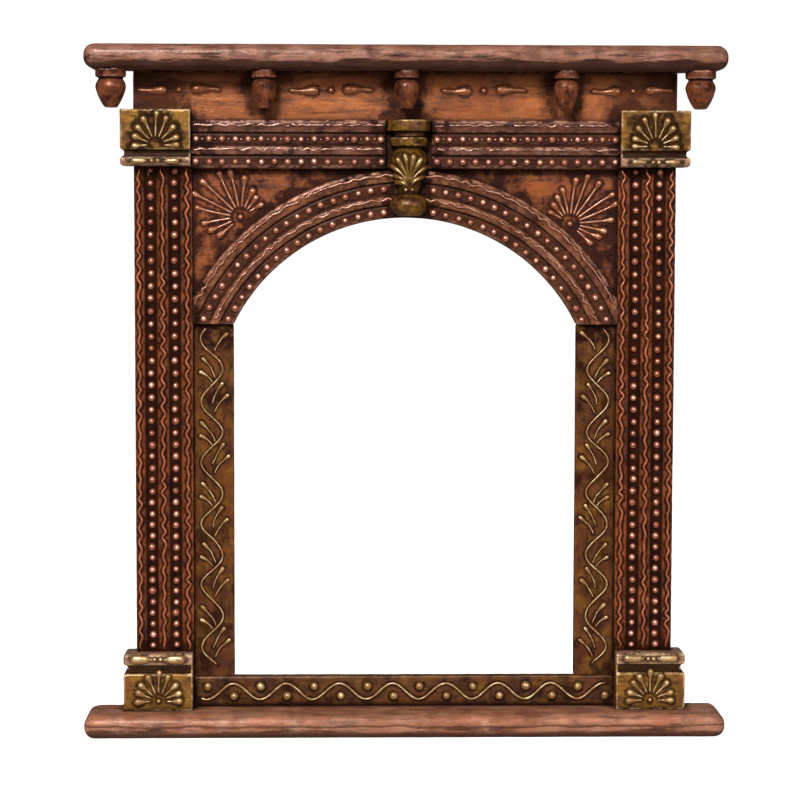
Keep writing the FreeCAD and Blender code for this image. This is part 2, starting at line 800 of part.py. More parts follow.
doc.recompute()
for thing in doc.Objects:
    if "Invalid" in thing.State or "Error" in thing.State:
        raise RuntimeError(f"{thing.Label} did not compute: {thing.State}")
for node in nodes:
    if node.Shape.isNull() or not node.Shape.isValid() or not node.Shape.Solids:
        raise RuntimeError(f"{node.Label} has no valid solid")

os.makedirs("parts", exist_ok=True)
for node in nodes:
    node.Shape.exportStep(os.path.join("parts", f"{node.Label}.step"))
    bounds = node.Shape.BoundBox
    print(
        f"{node.Label}: {len(node.Shape.Solids)} solid(s), {bounds.XLength:.1f} x"
        f" {bounds.YLength:.1f} x {bounds.ZLength:.1f} mm, {node.Shape.Volume:.0f} mm3"
    )
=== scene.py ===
import functools
import math
from types import SimpleNamespace

import bmesh
import bpy
import numpy as np
from mathutils import Matrix, Vector, noise
from mathutils.bvhtree import BVHTree
from mathutils.kdtree import KDTree


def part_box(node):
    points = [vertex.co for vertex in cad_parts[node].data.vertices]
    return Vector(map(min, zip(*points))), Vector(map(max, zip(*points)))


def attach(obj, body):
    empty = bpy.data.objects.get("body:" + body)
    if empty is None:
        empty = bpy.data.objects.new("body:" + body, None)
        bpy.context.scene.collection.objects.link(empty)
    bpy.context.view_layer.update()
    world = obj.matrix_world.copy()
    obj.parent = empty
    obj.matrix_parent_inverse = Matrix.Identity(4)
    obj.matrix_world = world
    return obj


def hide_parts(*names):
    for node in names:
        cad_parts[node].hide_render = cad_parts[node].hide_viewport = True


# A painted wooden wall arch: weathered boards, mouldings swept along their paths, and
# piped paste relief of beads, wavy lines, fans and vines. Metres, front towards -Y.

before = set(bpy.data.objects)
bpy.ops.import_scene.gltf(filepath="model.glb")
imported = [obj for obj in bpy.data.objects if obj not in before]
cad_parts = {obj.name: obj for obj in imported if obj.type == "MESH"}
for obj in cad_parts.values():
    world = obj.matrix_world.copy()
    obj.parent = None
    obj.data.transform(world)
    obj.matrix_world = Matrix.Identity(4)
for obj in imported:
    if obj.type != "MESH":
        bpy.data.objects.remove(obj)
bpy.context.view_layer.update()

MM = 0.001
SIDES = {"left": -1, "right": 1}
DROPS = ("left_outer_drop", "left_inner_drop", "middle_drop", "right_inner_drop", "right_outer_drop")

# Sizes of the carved and piped work, in millimetres. On a moulding, distances across it
# start at its lower or inner edge, and heights start at its back.
FLUTE_MARGIN = 5.8
FLUTE_WIDTH = 10.0
FLUTE_RIDGE = 5.8
FLUTE_SINK = 2.5
MOULDING_WIDTH = 31.6
MOULDING_HEIGHT = 6.0
BEAD_ROWS = {"lower": 4.0, "upper": 18.9}
RIDGES = {"low": (8.7, 14.3), "top": (23.4, 31.6)}
BAND_HEIGHT = 4.0
GROOVE_HEIGHT = 2.9
BEAD = 4.7
SPRINGING_RISE = 57.15
ARCH_RADIUS = 128.15
BEAD_SINK = 0.3
PASTE_SINK = 0.1


def point(x, y, z):
    """A place given in millimetres."""
    return Vector((x * MM, y * MM, z * MM))


def box_mm(node):
    low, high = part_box(node)
    return low / MM, high / MM


def near_and_far(node, sign):
    """The X of a node's edges: the one nearer the middle of the arch, then the other."""
    low, high = box_mm(node)
    return (low.x, high.x) if sign > 0 else (high.x, low.x)


def rgb(red, green, blue):
    """A display colour as the linear values that shaders take."""
    channels = [value / 255 for value in (red, green, blue)]
    linear = [c / 12.92 if c <= 0.04045 else ((c + 0.055) / 1.055) ** 2.4 for c in channels]
    return (*linear, 1.0)


# ---------------------------------------------------------------- node trees


class Nodes:
    """Short calls for building a shader or geometry tree."""

    def __init__(self, tree):
        self.tree = tree

    def feed(self, socket, value):
        """Links a socket to another node's output, or sets it to a plain value."""
        if isinstance(value, bpy.types.NodeSocket):
            self.tree.links.new(value, socket)
        else:
            socket.default_value = value

    def feed_all(self, node, inputs):
        for name, value in inputs.items():
            self.feed(node.inputs[name], value)

    def add(self, kind, inputs=None, **settings):
        node = self.tree.nodes.new(kind)
        for name, value in settings.items():
            setattr(node, name, value)
        self.feed_all(node, inputs or {})
        return node

    def math(self, operation, *values, clamp=False):
        node = self.add("ShaderNodeMath", operation=operation, use_clamp=clamp)
        for socket, value in zip(node.inputs, values):
            self.feed(socket, value)
        return node.outputs[0]

    def most(self, *values):
        """The highest of several values."""
        return functools.reduce(lambda first, second: self.math("MAXIMUM", first, second), values)

    def vector(self, operation, *values):
        node = self.add("ShaderNodeVectorMath", operation=operation)
        for socket, value in zip(node.inputs, values):
            self.feed(socket, value)
        return node.outputs[0]

    def scale(self, vector, size):
        names = {"Vector": vector, "Scale": size}
        return self.add("ShaderNodeVectorMath", names, operation="SCALE").outputs[0]

    def part(self, vector, axis):
        """One of the three numbers of a vector: X, Y or Z."""
        return self.add("ShaderNodeSeparateXYZ", {"Vector": vector}).outputs[axis]

    def attribute(self, name):
        """A number that is stored at each vertex of the piece."""
        return self.add("ShaderNodeAttribute", attribute_name=name).outputs["Fac"]

    def between(self, value, low, high, to_low=0.0, to_high=1.0):
        """The value taken from one range to another and held inside it."""
        names = {
            "Value": value, "From Min": low, "From Max": high,
            "To Min": to_low, "To Max": to_high,
        }
        node = self.add("ShaderNodeMapRange", names, interpolation_type="SMOOTHSTEP")
        return node.outputs[0]

    def mix(self, share, first, second):
        node = self.add("ShaderNodeMix", data_type="RGBA", clamp_factor=True)
        for index, value in ((0, share), (6, first), (7, second)):
            self.feed(node.inputs[index], value)
        return node.outputs[2]

    def clouds(self, place, size, detail, roughness, shift=0.0):
        """Noise whose patches are about size millimetres across."""
        moved = self.vector("ADD", place, (shift, shift * 0.7, -shift))
        names = {
            "Vector": moved, "Scale": 1 / (size * MM), "Detail": detail,
            "Roughness": roughness,
        }
        return self.add("ShaderNodeTexNoise", names).outputs[0]


# ---------------------------------------------------------------- finishes


def finish_nodes(name):
    """A new material with its node calls, its shader and coordinates fixed to the object."""
    material = bpy.data.materials.new(name)
    material.use_nodes = True
    nodes = Nodes(material.node_tree)
    shader = material.node_tree.nodes["Principled BSDF"]
    place = nodes.add("ShaderNodeTexCoord").outputs["Object"]
    return material, nodes, shader, place


GRAIN_STRETCH = 0.12


def stretched(nodes, place, grain):
    """Coordinates drawn out along the grain, X or Z."""
    scale = (GRAIN_STRETCH, 1, 1) if grain == "X" else (1, 1, GRAIN_STRETCH)
    return nodes.vector("MULTIPLY", place, scale)


def add_bump(nodes, shader, height, strength, distance):
    """Small unevenness of a surface, with its depth in millimetres."""
    names = {"Height": height, "Strength": strength, "Distance": distance * MM}
    nodes.feed(shader.inputs["Normal"], nodes.add("ShaderNodeBump", names).outputs[0])


def paint_noises(nodes, place, grain, patch):
    """The noises that one paint is made from: wide clouds, brush marks and fine grit."""
    grainy = stretched(nodes, place, grain)
    return SimpleNamespace(
        blotches=nodes.clouds(place, patch, 5, 0.55),
        drifts=nodes.clouds(place, patch * 0.55, 5, 0.62, shift=3.1),
        patches=nodes.clouds(place, patch * 0.8, 5, 0.56, shift=8.9),
        fray=nodes.clouds(place, 8, 4, 0.6, shift=9.8),
        rubbing=nodes.clouds(place, 7, 5, 0.7, shift=2.2),
        lumps=nodes.clouds(place, 4.5, 3, 0.5, shift=6.6),
        rim=nodes.clouds(place, 3.5, 4, 0.6, shift=7.7),
        speckle=nodes.clouds(place, 1.1, 3, 0.6, shift=5.3),
        streaks=nodes.clouds(grainy, patch * 0.16, 6, 0.7, shift=1.7),
        grit=nodes.clouds(grainy, 2.4, 4, 0.7, shift=11.3),
        brushed=nodes.clouds(grainy, 1.6, 4, 0.6, shift=4.4),
    )


def glaze_round_relief(nodes, noises, width, share):
    """Dark glaze in a ragged ring round the piped relief."""
    ragged = nodes.between(noises.rim, 0.3, 0.7, -0.35 * width, 0.35 * width)
    away = nodes.math("ADD", nodes.attribute("away"), ragged)
    return nodes.between(away, width * 1.25, width * 0.3, 0.0, share)


def glaze_and_shade_at_neighbours(nodes, noises, reach, share):
    """Dark glaze and painted shade where a piece meets its neighbours, with a drifting and frayed
    border.
    """
    drift = nodes.between(noises.drifts, 0.3, 0.7, -0.5 * reach, 0.5 * reach)
    fray = nodes.between(noises.fray, 0.3, 0.7, -0.25 * reach, 0.25 * reach)
    beside = nodes.math("ADD", nodes.attribute("beside"), nodes.math("ADD", drift, fray))
    return nodes.between(beside, reach * 1.15, reach * 0.2, 0.0, share)


def glaze_at_ends(nodes, noises, place, start, full):
    """Dark glaze towards both ends of a piece, by the distance from its middle."""
    across = nodes.math("ABSOLUTE", nodes.part(place, "X"))
    ragged = nodes.math("MULTIPLY", nodes.math("SUBTRACT", noises.blotches, 0.5), 90 * MM)
    return nodes.between(nodes.math("ADD", across, ragged), start * MM, full * MM, 0.0, 0.8)


def shade_and_glaze_underneath(nodes, noises, upward, share):
    """Painted shade, with dark glaze, on faces that look down."""
    low = nodes.math("ADD", upward, nodes.between(noises.streaks, 0.3, 0.7, 0.3, -0.3))
    return nodes.between(low, 0.1, -0.35, 0.0, share)


def glaze_streak(nodes, noises, place, height, share):
    """A ragged dark line along the piece at one height, and a darker tone below it."""
    ragged = nodes.between(noises.streaks, 0.3, 0.7, -0.8 * MM, 0.8 * MM)
    slow = nodes.between(noises.blotches, 0.3, 0.7, -0.7 * MM, 0.7 * MM)
    above = nodes.math("ADD", nodes.part(place, "Z"), nodes.math("ADD", ragged, slow))
    above = nodes.math("SUBTRACT", above, height * MM)
    line = nodes.between(nodes.math("ABSOLUTE", above), 1.9 * MM, 0.3 * MM, 0.0, share)
    return nodes.most(line, nodes.between(above, 0.0, -2 * MM, 0.0, 0.35))


def aged_paint(name, grain, tones, glaze, worn, patch, glaze_share, reach, gloss=0.36, metal=0.2,
               crest=(0.12, 0.5), worn_and_highlight_share=0.7, outline=1.2, outline_share=0.85, corners=None,
               ends=None, underside=0.0, streak=None, pits=0.0, roll_tone=None):
    """Metallic craft paint in three tones, dark glaze in the hollows and round the relief,
    painted shade in the hollows, between parts and on faces that look down, and rubbed
    bright edges with a painted highlight where they face up.

    Lengths are in millimetres: patch is the size of the clouds of tone, reach how far a corner
    is shaded, outline the ring round the relief. Corners, ends and streak are each a pair for
    their own kind of glaze, the corners' glaze with painted shade between parts, and a share
    of 1 covers the paint fully."""
    material, nodes, shader, place = finish_nodes(name)
    noises = paint_noises(nodes, place, grain, patch)
    bend = nodes.attribute("bend")
    upward = nodes.part(nodes.add("ShaderNodeTexCoord").outputs["Normal"], "Z")
    # Ambient occlusion sets painted shade: darker in hollows, under overhangs and between parts,
    # standing also for the glaze that gathers there
    shade = nodes.add("ShaderNodeAmbientOcclusion", {"Distance": reach * MM}, samples=8)

    colour = nodes.mix(nodes.between(noises.blotches, 0.4, 0.64), tones[0], tones[1])
    colour = nodes.mix(nodes.between(noises.drifts, 0.46, 0.7), colour, tones[2])
    if roll_tone:
        colour = nodes.mix(nodes.attribute("roll"), colour, roll_tone)
    colour = nodes.mix(nodes.between(noises.streaks, 0.45, 0.72, 0.0, 0.75), colour, glaze)

    # Where the glaze tone goes: real glaze, and painted shade from the occlusion, the neighbours and
    # the faces that look down
    glaze_and_shade_masks = [
        nodes.between(shade.outputs["AO"], 0.88, 0.4),
        nodes.between(bend, -0.02, -0.25),
        nodes.between(nodes.attribute("sunk"), 0.06, 0.4, 0.0, 0.97),
        nodes.between(noises.patches, 0.44, 0.68, 0.0, glaze_share),
        glaze_round_relief(nodes, noises, outline, outline_share),
    ]
    bright = nodes.math("MULTIPLY", nodes.between(bend, *crest), worn_and_highlight_share)
    bright = nodes.math("MULTIPLY", bright, nodes.between(noises.rubbing, 0.42, 0.6))
    # Painted highlight: rubbed edges that face up are brighter, those that face down dimmer
    bright = nodes.math("MULTIPLY", bright, nodes.between(upward, -0.5, 0.6, 0.45, 1.0))
    if corners:
        glaze_and_shade_masks.append(glaze_and_shade_at_neighbours(nodes, noises, *corners))
        bright = nodes.math("MULTIPLY", bright, nodes.math("SUBTRACT", 1.0, glaze_and_shade_masks[-1]))
    if ends:
        glaze_and_shade_masks.append(glaze_at_ends(nodes, noises, place, *ends))
    if underside:
        glaze_and_shade_masks.append(shade_and_glaze_underneath(nodes, noises, upward, underside))
    if streak:
        glaze_and_shade_masks.append(glaze_streak(nodes, noises, place, *streak))
    if pits:
        glaze_and_shade_masks.append(nodes.between(noises.grit, 0.53, 0.64, 0.0, pits))
    thinned = nodes.between(noises.speckle, 0.25, 0.7, 1.0, 0.9)
    # dark is glaze and painted shade together, thinned a little by speckle; the glaze tone is laid
    # over both
    dark = nodes.math("MULTIPLY", nodes.most(*glaze_and_shade_masks), thinned, clamp=True)
    colour = nodes.mix(dark, colour, glaze)
    colour = nodes.mix(bright, colour, worn)

    rough = nodes.between(noises.speckle, 0.3, 0.7, gloss - 0.06, gloss + 0.16)
    nodes.feed_all(shader, {
        "Base Color": colour,
        "Roughness": nodes.math("ADD", rough, nodes.math("MULTIPLY", dark, 0.1)),
        "Metallic": nodes.between(dark, 0.0, 0.8, metal, metal * 0.2),
        "Specular IOR Level": nodes.between(dark, 0.1, 0.9, 0.3, 0.02),
        "Coat Weight": nodes.between(dark, 0.1, 0.9, 0.12, 0.01),
        "Coat Roughness": 0.18,
    })
    height = nodes.math("ADD", nodes.math("MULTIPLY", noises.brushed, 0.5), noises.lumps)
    height = nodes.math("ADD", height, nodes.math("MULTIPLY", noises.speckle, 0.3))
    add_bump(nodes, shader, height, strength=0.7, distance=0.45)
    return material


def piped_paste(name, crest, body, foot):
    """Hardened paste with painted light: a painted highlight on the crest facing the front, and
    painted shade darker towards the foot.
    """
    material, nodes, shader, place = finish_nodes(name)
    normal = nodes.add("ShaderNodeTexCoord").outputs["Normal"]
    mottle = nodes.clouds(place, 6, 4, 0.6)
    grit = nodes.clouds(place, 0.8, 3, 0.6, shift=2.7)
    # How much the paste faces the front and a little up: this sets its painted shade at the foot and
    # painted highlight on the crest
    front = nodes.math("MULTIPLY", nodes.part(normal, "Y"), -1.0)
    front = nodes.math("ADD", front, nodes.math("MULTIPLY", nodes.part(normal, "Z"), 0.22))
    front = nodes.math("ADD", front, nodes.between(mottle, 0.3, 0.7, -0.25, 0.12))
    colour = nodes.mix(nodes.between(front, 0.1, 0.55), foot, body)
    nodes.feed_all(shader, {
        "Base Color": nodes.mix(nodes.between(front, 0.78, 1.1), colour, crest),
        "Roughness": nodes.between(grit, 0.3, 0.7, 0.25, 0.45),
        "Metallic": nodes.between(front, 0.1, 0.7, 0.105, 0.35),
        "Specular IOR Level": nodes.between(front, 0.1, 0.6, 0.1, 0.6),
        "Coat Weight": nodes.between(front, 0.1, 0.6, 0.0, 0.35),
        "Coat Roughness": 0.15,
    })
    add_bump(nodes, shader, grit, strength=0.35, distance=0.2)
    return material


def bare_wood(name, light, dark):
    material, nodes, shader, place = finish_nodes(name)
    fibres = nodes.clouds(stretched(nodes, place, "Z"), 1.5, 5, 0.65)
    nodes.feed_all(shader, {
        "Base Color": nodes.mix(nodes.between(fibres, 0.35, 0.7), light, dark),
        "Roughness": nodes.between(fibres, 0.3, 0.7, 0.55, 0.75),
    })
    return material


def dull_metal(name, tone, tarnish):
    material, nodes, shader, place = finish_nodes(name)
    stains = nodes.clouds(place, 5, 5, 0.65)
    scratches = nodes.clouds(stretched(nodes, place, "X"), 0.6, 4, 0.6, shift=2.0)
    nodes.feed_all(shader, {
        "Base Color": nodes.mix(nodes.between(stains, 0.45, 0.7), tone, tarnish),
        "Roughness": nodes.between(scratches, 0.3, 0.7, 0.28, 0.5),
        "Metallic": 0.9,
    })
    return material


# Dark glaze tones; the same tones also paint the shade in hollows, between parts and under overhangs
BLACK_GLAZE_AND_SHADE = rgb(25, 12, 11)
BLUE_BLACK_GLAZE_AND_SHADE = rgb(24, 17, 21)
DEEP_GLAZE_AND_SHADE = rgb(22, 9, 7)
BROWN_GLAZE_AND_SHADE = rgb(44, 25, 20)
PAINTS = {
    "shelf": aged_paint(
        "copper_shelf", "X", (rgb(154, 104, 84), rgb(134, 84, 62), rgb(164, 116, 98)),
        BROWN_GLAZE_AND_SHADE, rgb(200, 152, 132), patch=22, glaze_share=0.62, gloss=0.46, reach=12,
        underside=0.93, pits=0.6,
    ),
    "base": aged_paint(
        "copper_base", "X", (rgb(174, 116, 88), rgb(156, 95, 66), rgb(178, 126, 100)),
        BROWN_GLAZE_AND_SHADE, rgb(192, 148, 124), patch=26, glaze_share=0.55, gloss=0.5, reach=12,
        underside=0.85, corners=(4, 0.7), streak=(8.6, 0.8), pits=0.4,
    ),
    "frieze": aged_paint(
        "orange_copper", "X", (rgb(166, 92, 44), rgb(140, 72, 36), rgb(178, 104, 56)),
        BLUE_BLACK_GLAZE_AND_SHADE, rgb(196, 124, 80), patch=30, glaze_share=0.4, reach=14,
        outline=1.8, outline_share=0.75, ends=(126, 164), corners=(12, 0.86),
    ),
    "spandrel": aged_paint(
        "spandrel_copper", "X", (rgb(144, 72, 32), rgb(108, 52, 27), rgb(154, 82, 36)),
        BLUE_BLACK_GLAZE_AND_SHADE, rgb(190, 122, 84), patch=24, glaze_share=0.75, reach=14,
        outline=2.2, outline_share=0.9, corners=(12, 0.93),
    ),
    "post": aged_paint(
        "dark_rust_posts", "Z", (rgb(126, 62, 28), rgb(80, 40, 22), rgb(148, 76, 34)),
        DEEP_GLAZE_AND_SHADE, rgb(170, 92, 54), patch=18, glaze_share=0.75, reach=7,
        outline=1.9, outline_share=0.95, corners=(15, 0.93),
    ),
    "moulding": aged_paint(
        "copper_moulding", "X", (rgb(112, 64, 48), rgb(82, 46, 34), rgb(136, 80, 54)),
        BLACK_GLAZE_AND_SHADE, rgb(194, 142, 118), patch=16, glaze_share=0.6, reach=6, metal=0.3,
        crest=(0.03, 0.22), worn_and_highlight_share=0.65, outline=0.9, corners=(14, 0.96),
    ),
    "arch": aged_paint(
        "rusty_arch", "X", (rgb(130, 74, 46), rgb(92, 50, 32), rgb(146, 88, 56)),
        BLACK_GLAZE_AND_SHADE, rgb(190, 132, 102), patch=14, glaze_share=0.75, reach=6, metal=0.3,
        crest=(0.03, 0.22), worn_and_highlight_share=0.55, outline=1.0, corners=(12, 0.96),
    ),
    "block": aged_paint(
        "old_gold_blocks", "X", (rgb(136, 94, 26), rgb(106, 62, 24), rgb(156, 110, 28)),
        BLACK_GLAZE_AND_SHADE, rgb(198, 166, 126), patch=13, glaze_share=0.88, reach=8, metal=0.3,
        crest=(0.08, 0.34), worn_and_highlight_share=0.9, outline=4.2, outline_share=0.95,
        roll_tone=rgb(172, 126, 98),
    ),
    "plinth": aged_paint(
        "old_gold_plinths", "X", (rgb(146, 98, 34), rgb(122, 74, 30), rgb(156, 110, 34)),
        BLACK_GLAZE_AND_SHADE, rgb(214, 182, 136), patch=13, glaze_share=0.6, reach=8, metal=0.3,
        crest=(0.08, 0.34), worn_and_highlight_share=0.9, outline=2.2, outline_share=0.9,
        roll_tone=rgb(172, 126, 98),
    ),
    "stile": aged_paint(
        "old_gold_strips", "Z", (rgb(102, 54, 10), rgb(82, 36, 12), rgb(118, 76, 8)),
        BLACK_GLAZE_AND_SHADE, rgb(150, 102, 50), patch=19, glaze_share=0.85, reach=10,
        outline=1.5, outline_share=0.88, corners=(18, 0.9),
    ),
    "rail": aged_paint(
        "old_gold_rail", "X", (rgb(102, 58, 24), rgb(76, 40, 22), rgb(116, 74, 20)),
        BLACK_GLAZE_AND_SHADE, rgb(150, 110, 70), patch=17, glaze_share=0.85, reach=9,
        outline=1.6, outline_share=0.9, corners=(4, 0.75),
    ),
    "drop": aged_paint(
        "copper_drops", "Z", (rgb(126, 66, 38), rgb(92, 44, 26), rgb(146, 80, 48)),
        BLACK_GLAZE_AND_SHADE, rgb(216, 160, 134), patch=10, glaze_share=0.88, reach=8, metal=0.3,
    ),
    "turning": aged_paint(
        "old_gold_turning", "Z", (rgb(122, 82, 22), rgb(96, 54, 28), rgb(146, 106, 24)),
        BLACK_GLAZE_AND_SHADE, rgb(206, 170, 112), patch=9, glaze_share=0.85, reach=15, metal=0.4,
        outline=1.7, corners=(9, 0.93),
    ),
    # Piped paste colours: the painted highlight on the crest, the paste's own body colour, and the
    # painted shade at the foot
    "copper_bead": piped_paste(
        "copper_beads", rgb(224, 178, 154), rgb(150, 84, 60), rgb(44, 24, 20),
    ),
    "rust_line": piped_paste(
        "rust_lines", rgb(190, 106, 68), rgb(144, 74, 40), rgb(36, 18, 14),
    ),
    "fan_line": piped_paste(
        "copper_fans", rgb(196, 148, 122), rgb(156, 88, 52), rgb(48, 26, 18),
    ),
    "frieze_paste": piped_paste(
        "copper_teardrops", rgb(186, 118, 78), rgb(146, 80, 42), rgb(44, 24, 16),
    ),
    "ridge_line": piped_paste(
        "ridge_waves", rgb(200, 150, 128), rgb(124, 72, 54), rgb(50, 28, 22),
    ),
    "arch_line": piped_paste(
        "arch_waves", rgb(188, 140, 116), rgb(136, 76, 50), rgb(40, 22, 16),
    ),
    "gold_line": piped_paste(
        "pale_gold_lines", rgb(214, 186, 138), rgb(150, 108, 60), rgb(50, 32, 18),
    ),
    "leaf": piped_paste(
        "gold_leaves", rgb(182, 150, 98), rgb(116, 82, 26), rgb(36, 22, 12),
    ),
    "dowel": bare_wood("bare_beech", rgb(196, 160, 112), rgb(160, 120, 78)),
    "brass": dull_metal("dull_brass", rgb(176, 146, 86), rgb(108, 84, 48)),
    "zinc": dull_metal("zinc_screws", rgb(150, 148, 142), rgb(96, 92, 86)),
}


# ---------------------------------------------------------------- mesh tools


# Waves per metre of the swell, the ripple and the chips of a worn surface
SWELL_WAVES = 55
RIPPLE_WAVES = 420
CHIP_WAVES = 190
SWELL = 0.18
RIPPLE = 0.05
CHIPPED_EDGE = 0.1
BEND_SOFTENINGS = 2
EDGE_MARGIN = 1.2
FARTHEST_RELIEF = 20.0
FARTHEST_NEIGHBOUR = 25.0


def store(mesh, name, values):
    layer = mesh.attributes.new(name, "FLOAT", "POINT")
    layer.data.foreach_set("value", np.asarray(values, dtype=np.float32))


def store_bend(mesh):
    """Keeps how sharply the surface bends at each vertex: above zero on edges, below in
    hollows, and 1 where the radius is about a millimetre."""
    count = len(mesh.vertices)
    places = np.empty(count * 3)
    mesh.vertices.foreach_get("co", places)
    places = places.reshape(-1, 3)
    normals = np.empty(count * 3)
    mesh.vertex_normals.foreach_get("vector", normals)
    normals = normals.reshape(-1, 3)
    ends = np.empty(len(mesh.edges) * 2, dtype=np.int64)
    mesh.edges.foreach_get("vertices", ends)
    first, second = ends.reshape(-1, 2).T
    apart = places[second] - places[first]
    turned = normals[second] - normals[first]
    length = np.maximum((apart**2).sum(1), 1e-12)
    curve = (apart * turned).sum(1) / length * MM
    neighbours = np.bincount(first, minlength=count) + np.bincount(second, minlength=count)
    neighbours = np.maximum(neighbours, 1)
    bend = (np.bincount(first, curve, count) + np.bincount(second, curve, count)) / neighbours
    for _ in range(BEND_SOFTENINGS):
        around = np.bincount(first, bend[second], count) + np.bincount(second, bend[first], count)
        bend = 0.5 * bend + 0.5 * around / neighbours
    store(mesh, "bend", bend)
    return bend


def wear(mesh, swell, chips, let_out, seed):
    """Gives a mesh the uneven surface of hand-cut painted wood: a slow swell, a fine ripple
    and chips along its edges, after letting it out a little so that joints stay closed."""
    bend = store_bend(mesh)
    normals = [tuple(n.vector) for n in mesh.vertex_normals]
    shift = Vector((seed, seed * 1.3, -seed))
    for vertex, normal, sharp in zip(mesh.vertices, normals, bend):
        slow = noise.fractal(vertex.co * SWELL_WAVES + shift, 1.0, 2.0, 3)
        fine = noise.noise(vertex.co * RIPPLE_WAVES + shift)
        sink = swell * (0.5 + 0.5 * slow) + RIPPLE * fine - let_out
        if sharp > CHIPPED_EDGE:
            bite = noise.fractal(vertex.co * CHIP_WAVES + shift * 2, 0.9, 2.1, 3)
            sink += chips * max(0.0, bite) * min(1.0, sharp * 2.5)
        vertex.co -= Vector(normal) * (sink * MM)
    mesh.update()


def vertex_places(mesh):
    """The places of a mesh's vertices in millimetres."""
    places = np.empty(len(mesh.vertices) * 3)
    mesh.vertices.foreach_get("co", places)
    return places.reshape(-1, 3) / MM


def store_sunk(mesh, node, depth):
    """Marks how far the face of a piece is sunk below its front, 1 at the full depth."""
    low, high = box_mm(node)
    deepest = depth + 0.8
    places = vertex_places(mesh)
    inside = (places[:, 0] > low.x + EDGE_MARGIN) & (places[:, 0] < high.x - EDGE_MARGIN)
    inside &= (places[:, 2] > low.z + EDGE_MARGIN) & (places[:, 2] < high.z - EDGE_MARGIN)
    inside &= places[:, 1] < low.y + deepest
    store(mesh, "sunk", np.clip((places[:, 1] - low.y) / depth, 0, 1) * inside)


RELIEF_PLACES = []


@functools.cache
def relief_search():
    """A search tree over the vertices of all the piped relief, once it is all made."""
    places = np.concatenate(RELIEF_PLACES)
    tree = KDTree(len(places))
    for index, place in enumerate(places):
        tree.insert(place, index)
    tree.balance()
    return tree


def store_away(mesh):
    """Marks how many millimetres each vertex is away from the nearest piped relief."""
    find = relief_search().find
    store(mesh, "away", [min(find(v.co)[2] / MM, FARTHEST_RELIEF) for v in mesh.vertices])


@functools.cache
def node_tree(node):
    """A search tree over the faces of a CAD node."""
    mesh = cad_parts[node].data
    corners = [vertex.co.copy() for vertex in mesh.vertices]
    faces = [tuple(face.vertices) for face in mesh.polygons]
    return BVHTree.FromPolygons(corners, faces)


def store_beside(mesh, neighbours, lift):
    """Marks how many millimetres each vertex, lifted to the front, is away from the pieces
    it lies beside."""
    forward = point(0, -lift, 0)
    trees = [node_tree(neighbour) for neighbour in neighbours]
    distances = []
    for vertex in mesh.vertices:
        nearest = FARTHEST_NEIGHBOUR * MM
        for tree in trees:
            found = tree.find_nearest(vertex.co + forward, nearest)[3]
            if found is not None:
                nearest = found
        distances.append(nearest / MM)
    store(mesh, "beside", distances)


def add_piece(name, mesh, paint, slot, *replaced):
    """Puts a finished mesh in the scene, on the one body the object has."""
    mesh.name = name
    mesh.materials.clear()
    mesh.materials.append(PAINTS[paint])
    mesh.polygons.foreach_set("use_smooth", [True] * len(mesh.polygons))
    mesh.update()
    piece = bpy.data.objects.new(name, mesh)
    bpy.context.scene.collection.objects.link(piece)
    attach(piece, "root")
    if replaced:
        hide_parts(*replaced)


def new_holder(mesh):
    """A short-lived object that carries a mesh through its modifiers."""
    holder = bpy.data.objects.new("holder", mesh)
    bpy.context.scene.collection.objects.link(holder)
    return holder


def evaluated_mesh(holder):
    """The plain mesh that an object and its modifiers give; the object is removed."""
    depsgraph = bpy.context.evaluated_depsgraph_get()
    mesh = bpy.data.meshes.new_from_object(holder.evaluated_get(depsgraph))
    bpy.data.objects.remove(holder)
    return mesh


def soft_copy(node, voxel, rounds):
    """An even, closed copy of a CAD node with its edges a little softened."""
    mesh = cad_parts[node].data.copy()
    work = bmesh.new()
    work.from_mesh(mesh)
    bmesh.ops.remove_doubles(work, verts=work.verts, dist=0.001 * MM)
    work.to_mesh(mesh)
    work.free()
    holder = new_holder(mesh)
    remesh = holder.modifiers.new("even", "REMESH")
    remesh.mode = "VOXEL"
    remesh.voxel_size = voxel * MM
    soften = holder.modifiers.new("soften", "SMOOTH")
    soften.factor = 0.5
    soften.iterations = rounds
    return evaluated_mesh(holder)


def weathered(node, paint, slot, voxel, seed, rounds=2, chips=0.35, let_out=0.2, depth=0.0,
              roll=None, beside=(), lift=0.0):
    """Replaces a CAD node by a worn, painted copy.

    Depth is how far its face is cut back, roll the heights of its rounded band, and lift how
    far its front lies behind the fronts of the pieces it lies beside."""
    mesh = soft_copy(node, voxel, rounds)
    wear(mesh, SWELL, chips, let_out, seed)
    store_away(mesh)
    if depth:
        store_sunk(mesh, node, depth)
    if beside:
        store_beside(mesh, beside, lift)
    if roll:
        up = vertex_places(mesh)[:, 2] - box_mm(node)[0].z
        store(mesh, "roll", (up > roll[0]) & (up < roll[1]))
    add_piece(f"{node}_wood", mesh, paint, slot, node)


# ---------------------------------------------------------------- mouldings


def ridge_outline(start, end, side_height, steps):
    """Points over one rounded ridge, as (distance from the lower edge, height)."""
    middle = (start + end) / 2
    half = (end - start) / 2
    points = []
    for step in range(steps):
        angle = math.pi * step / (steps - 1)
        height = side_height + (MOULDING_HEIGHT - side_height) * math.sin(angle) ** 0.6
        points.append((middle - half * math.cos(angle), height))
    return points


def band_outline(start, end):
    """Points across one sunk band, slightly dished."""
    steps = 7
    dish = 0.25
    points = []
    for step in range(steps):
        share = step / (steps - 1)
        height = BAND_HEIGHT - dish * math.sin(math.pi * share)
        points.append((start + (end - start) * share, height))
    return points


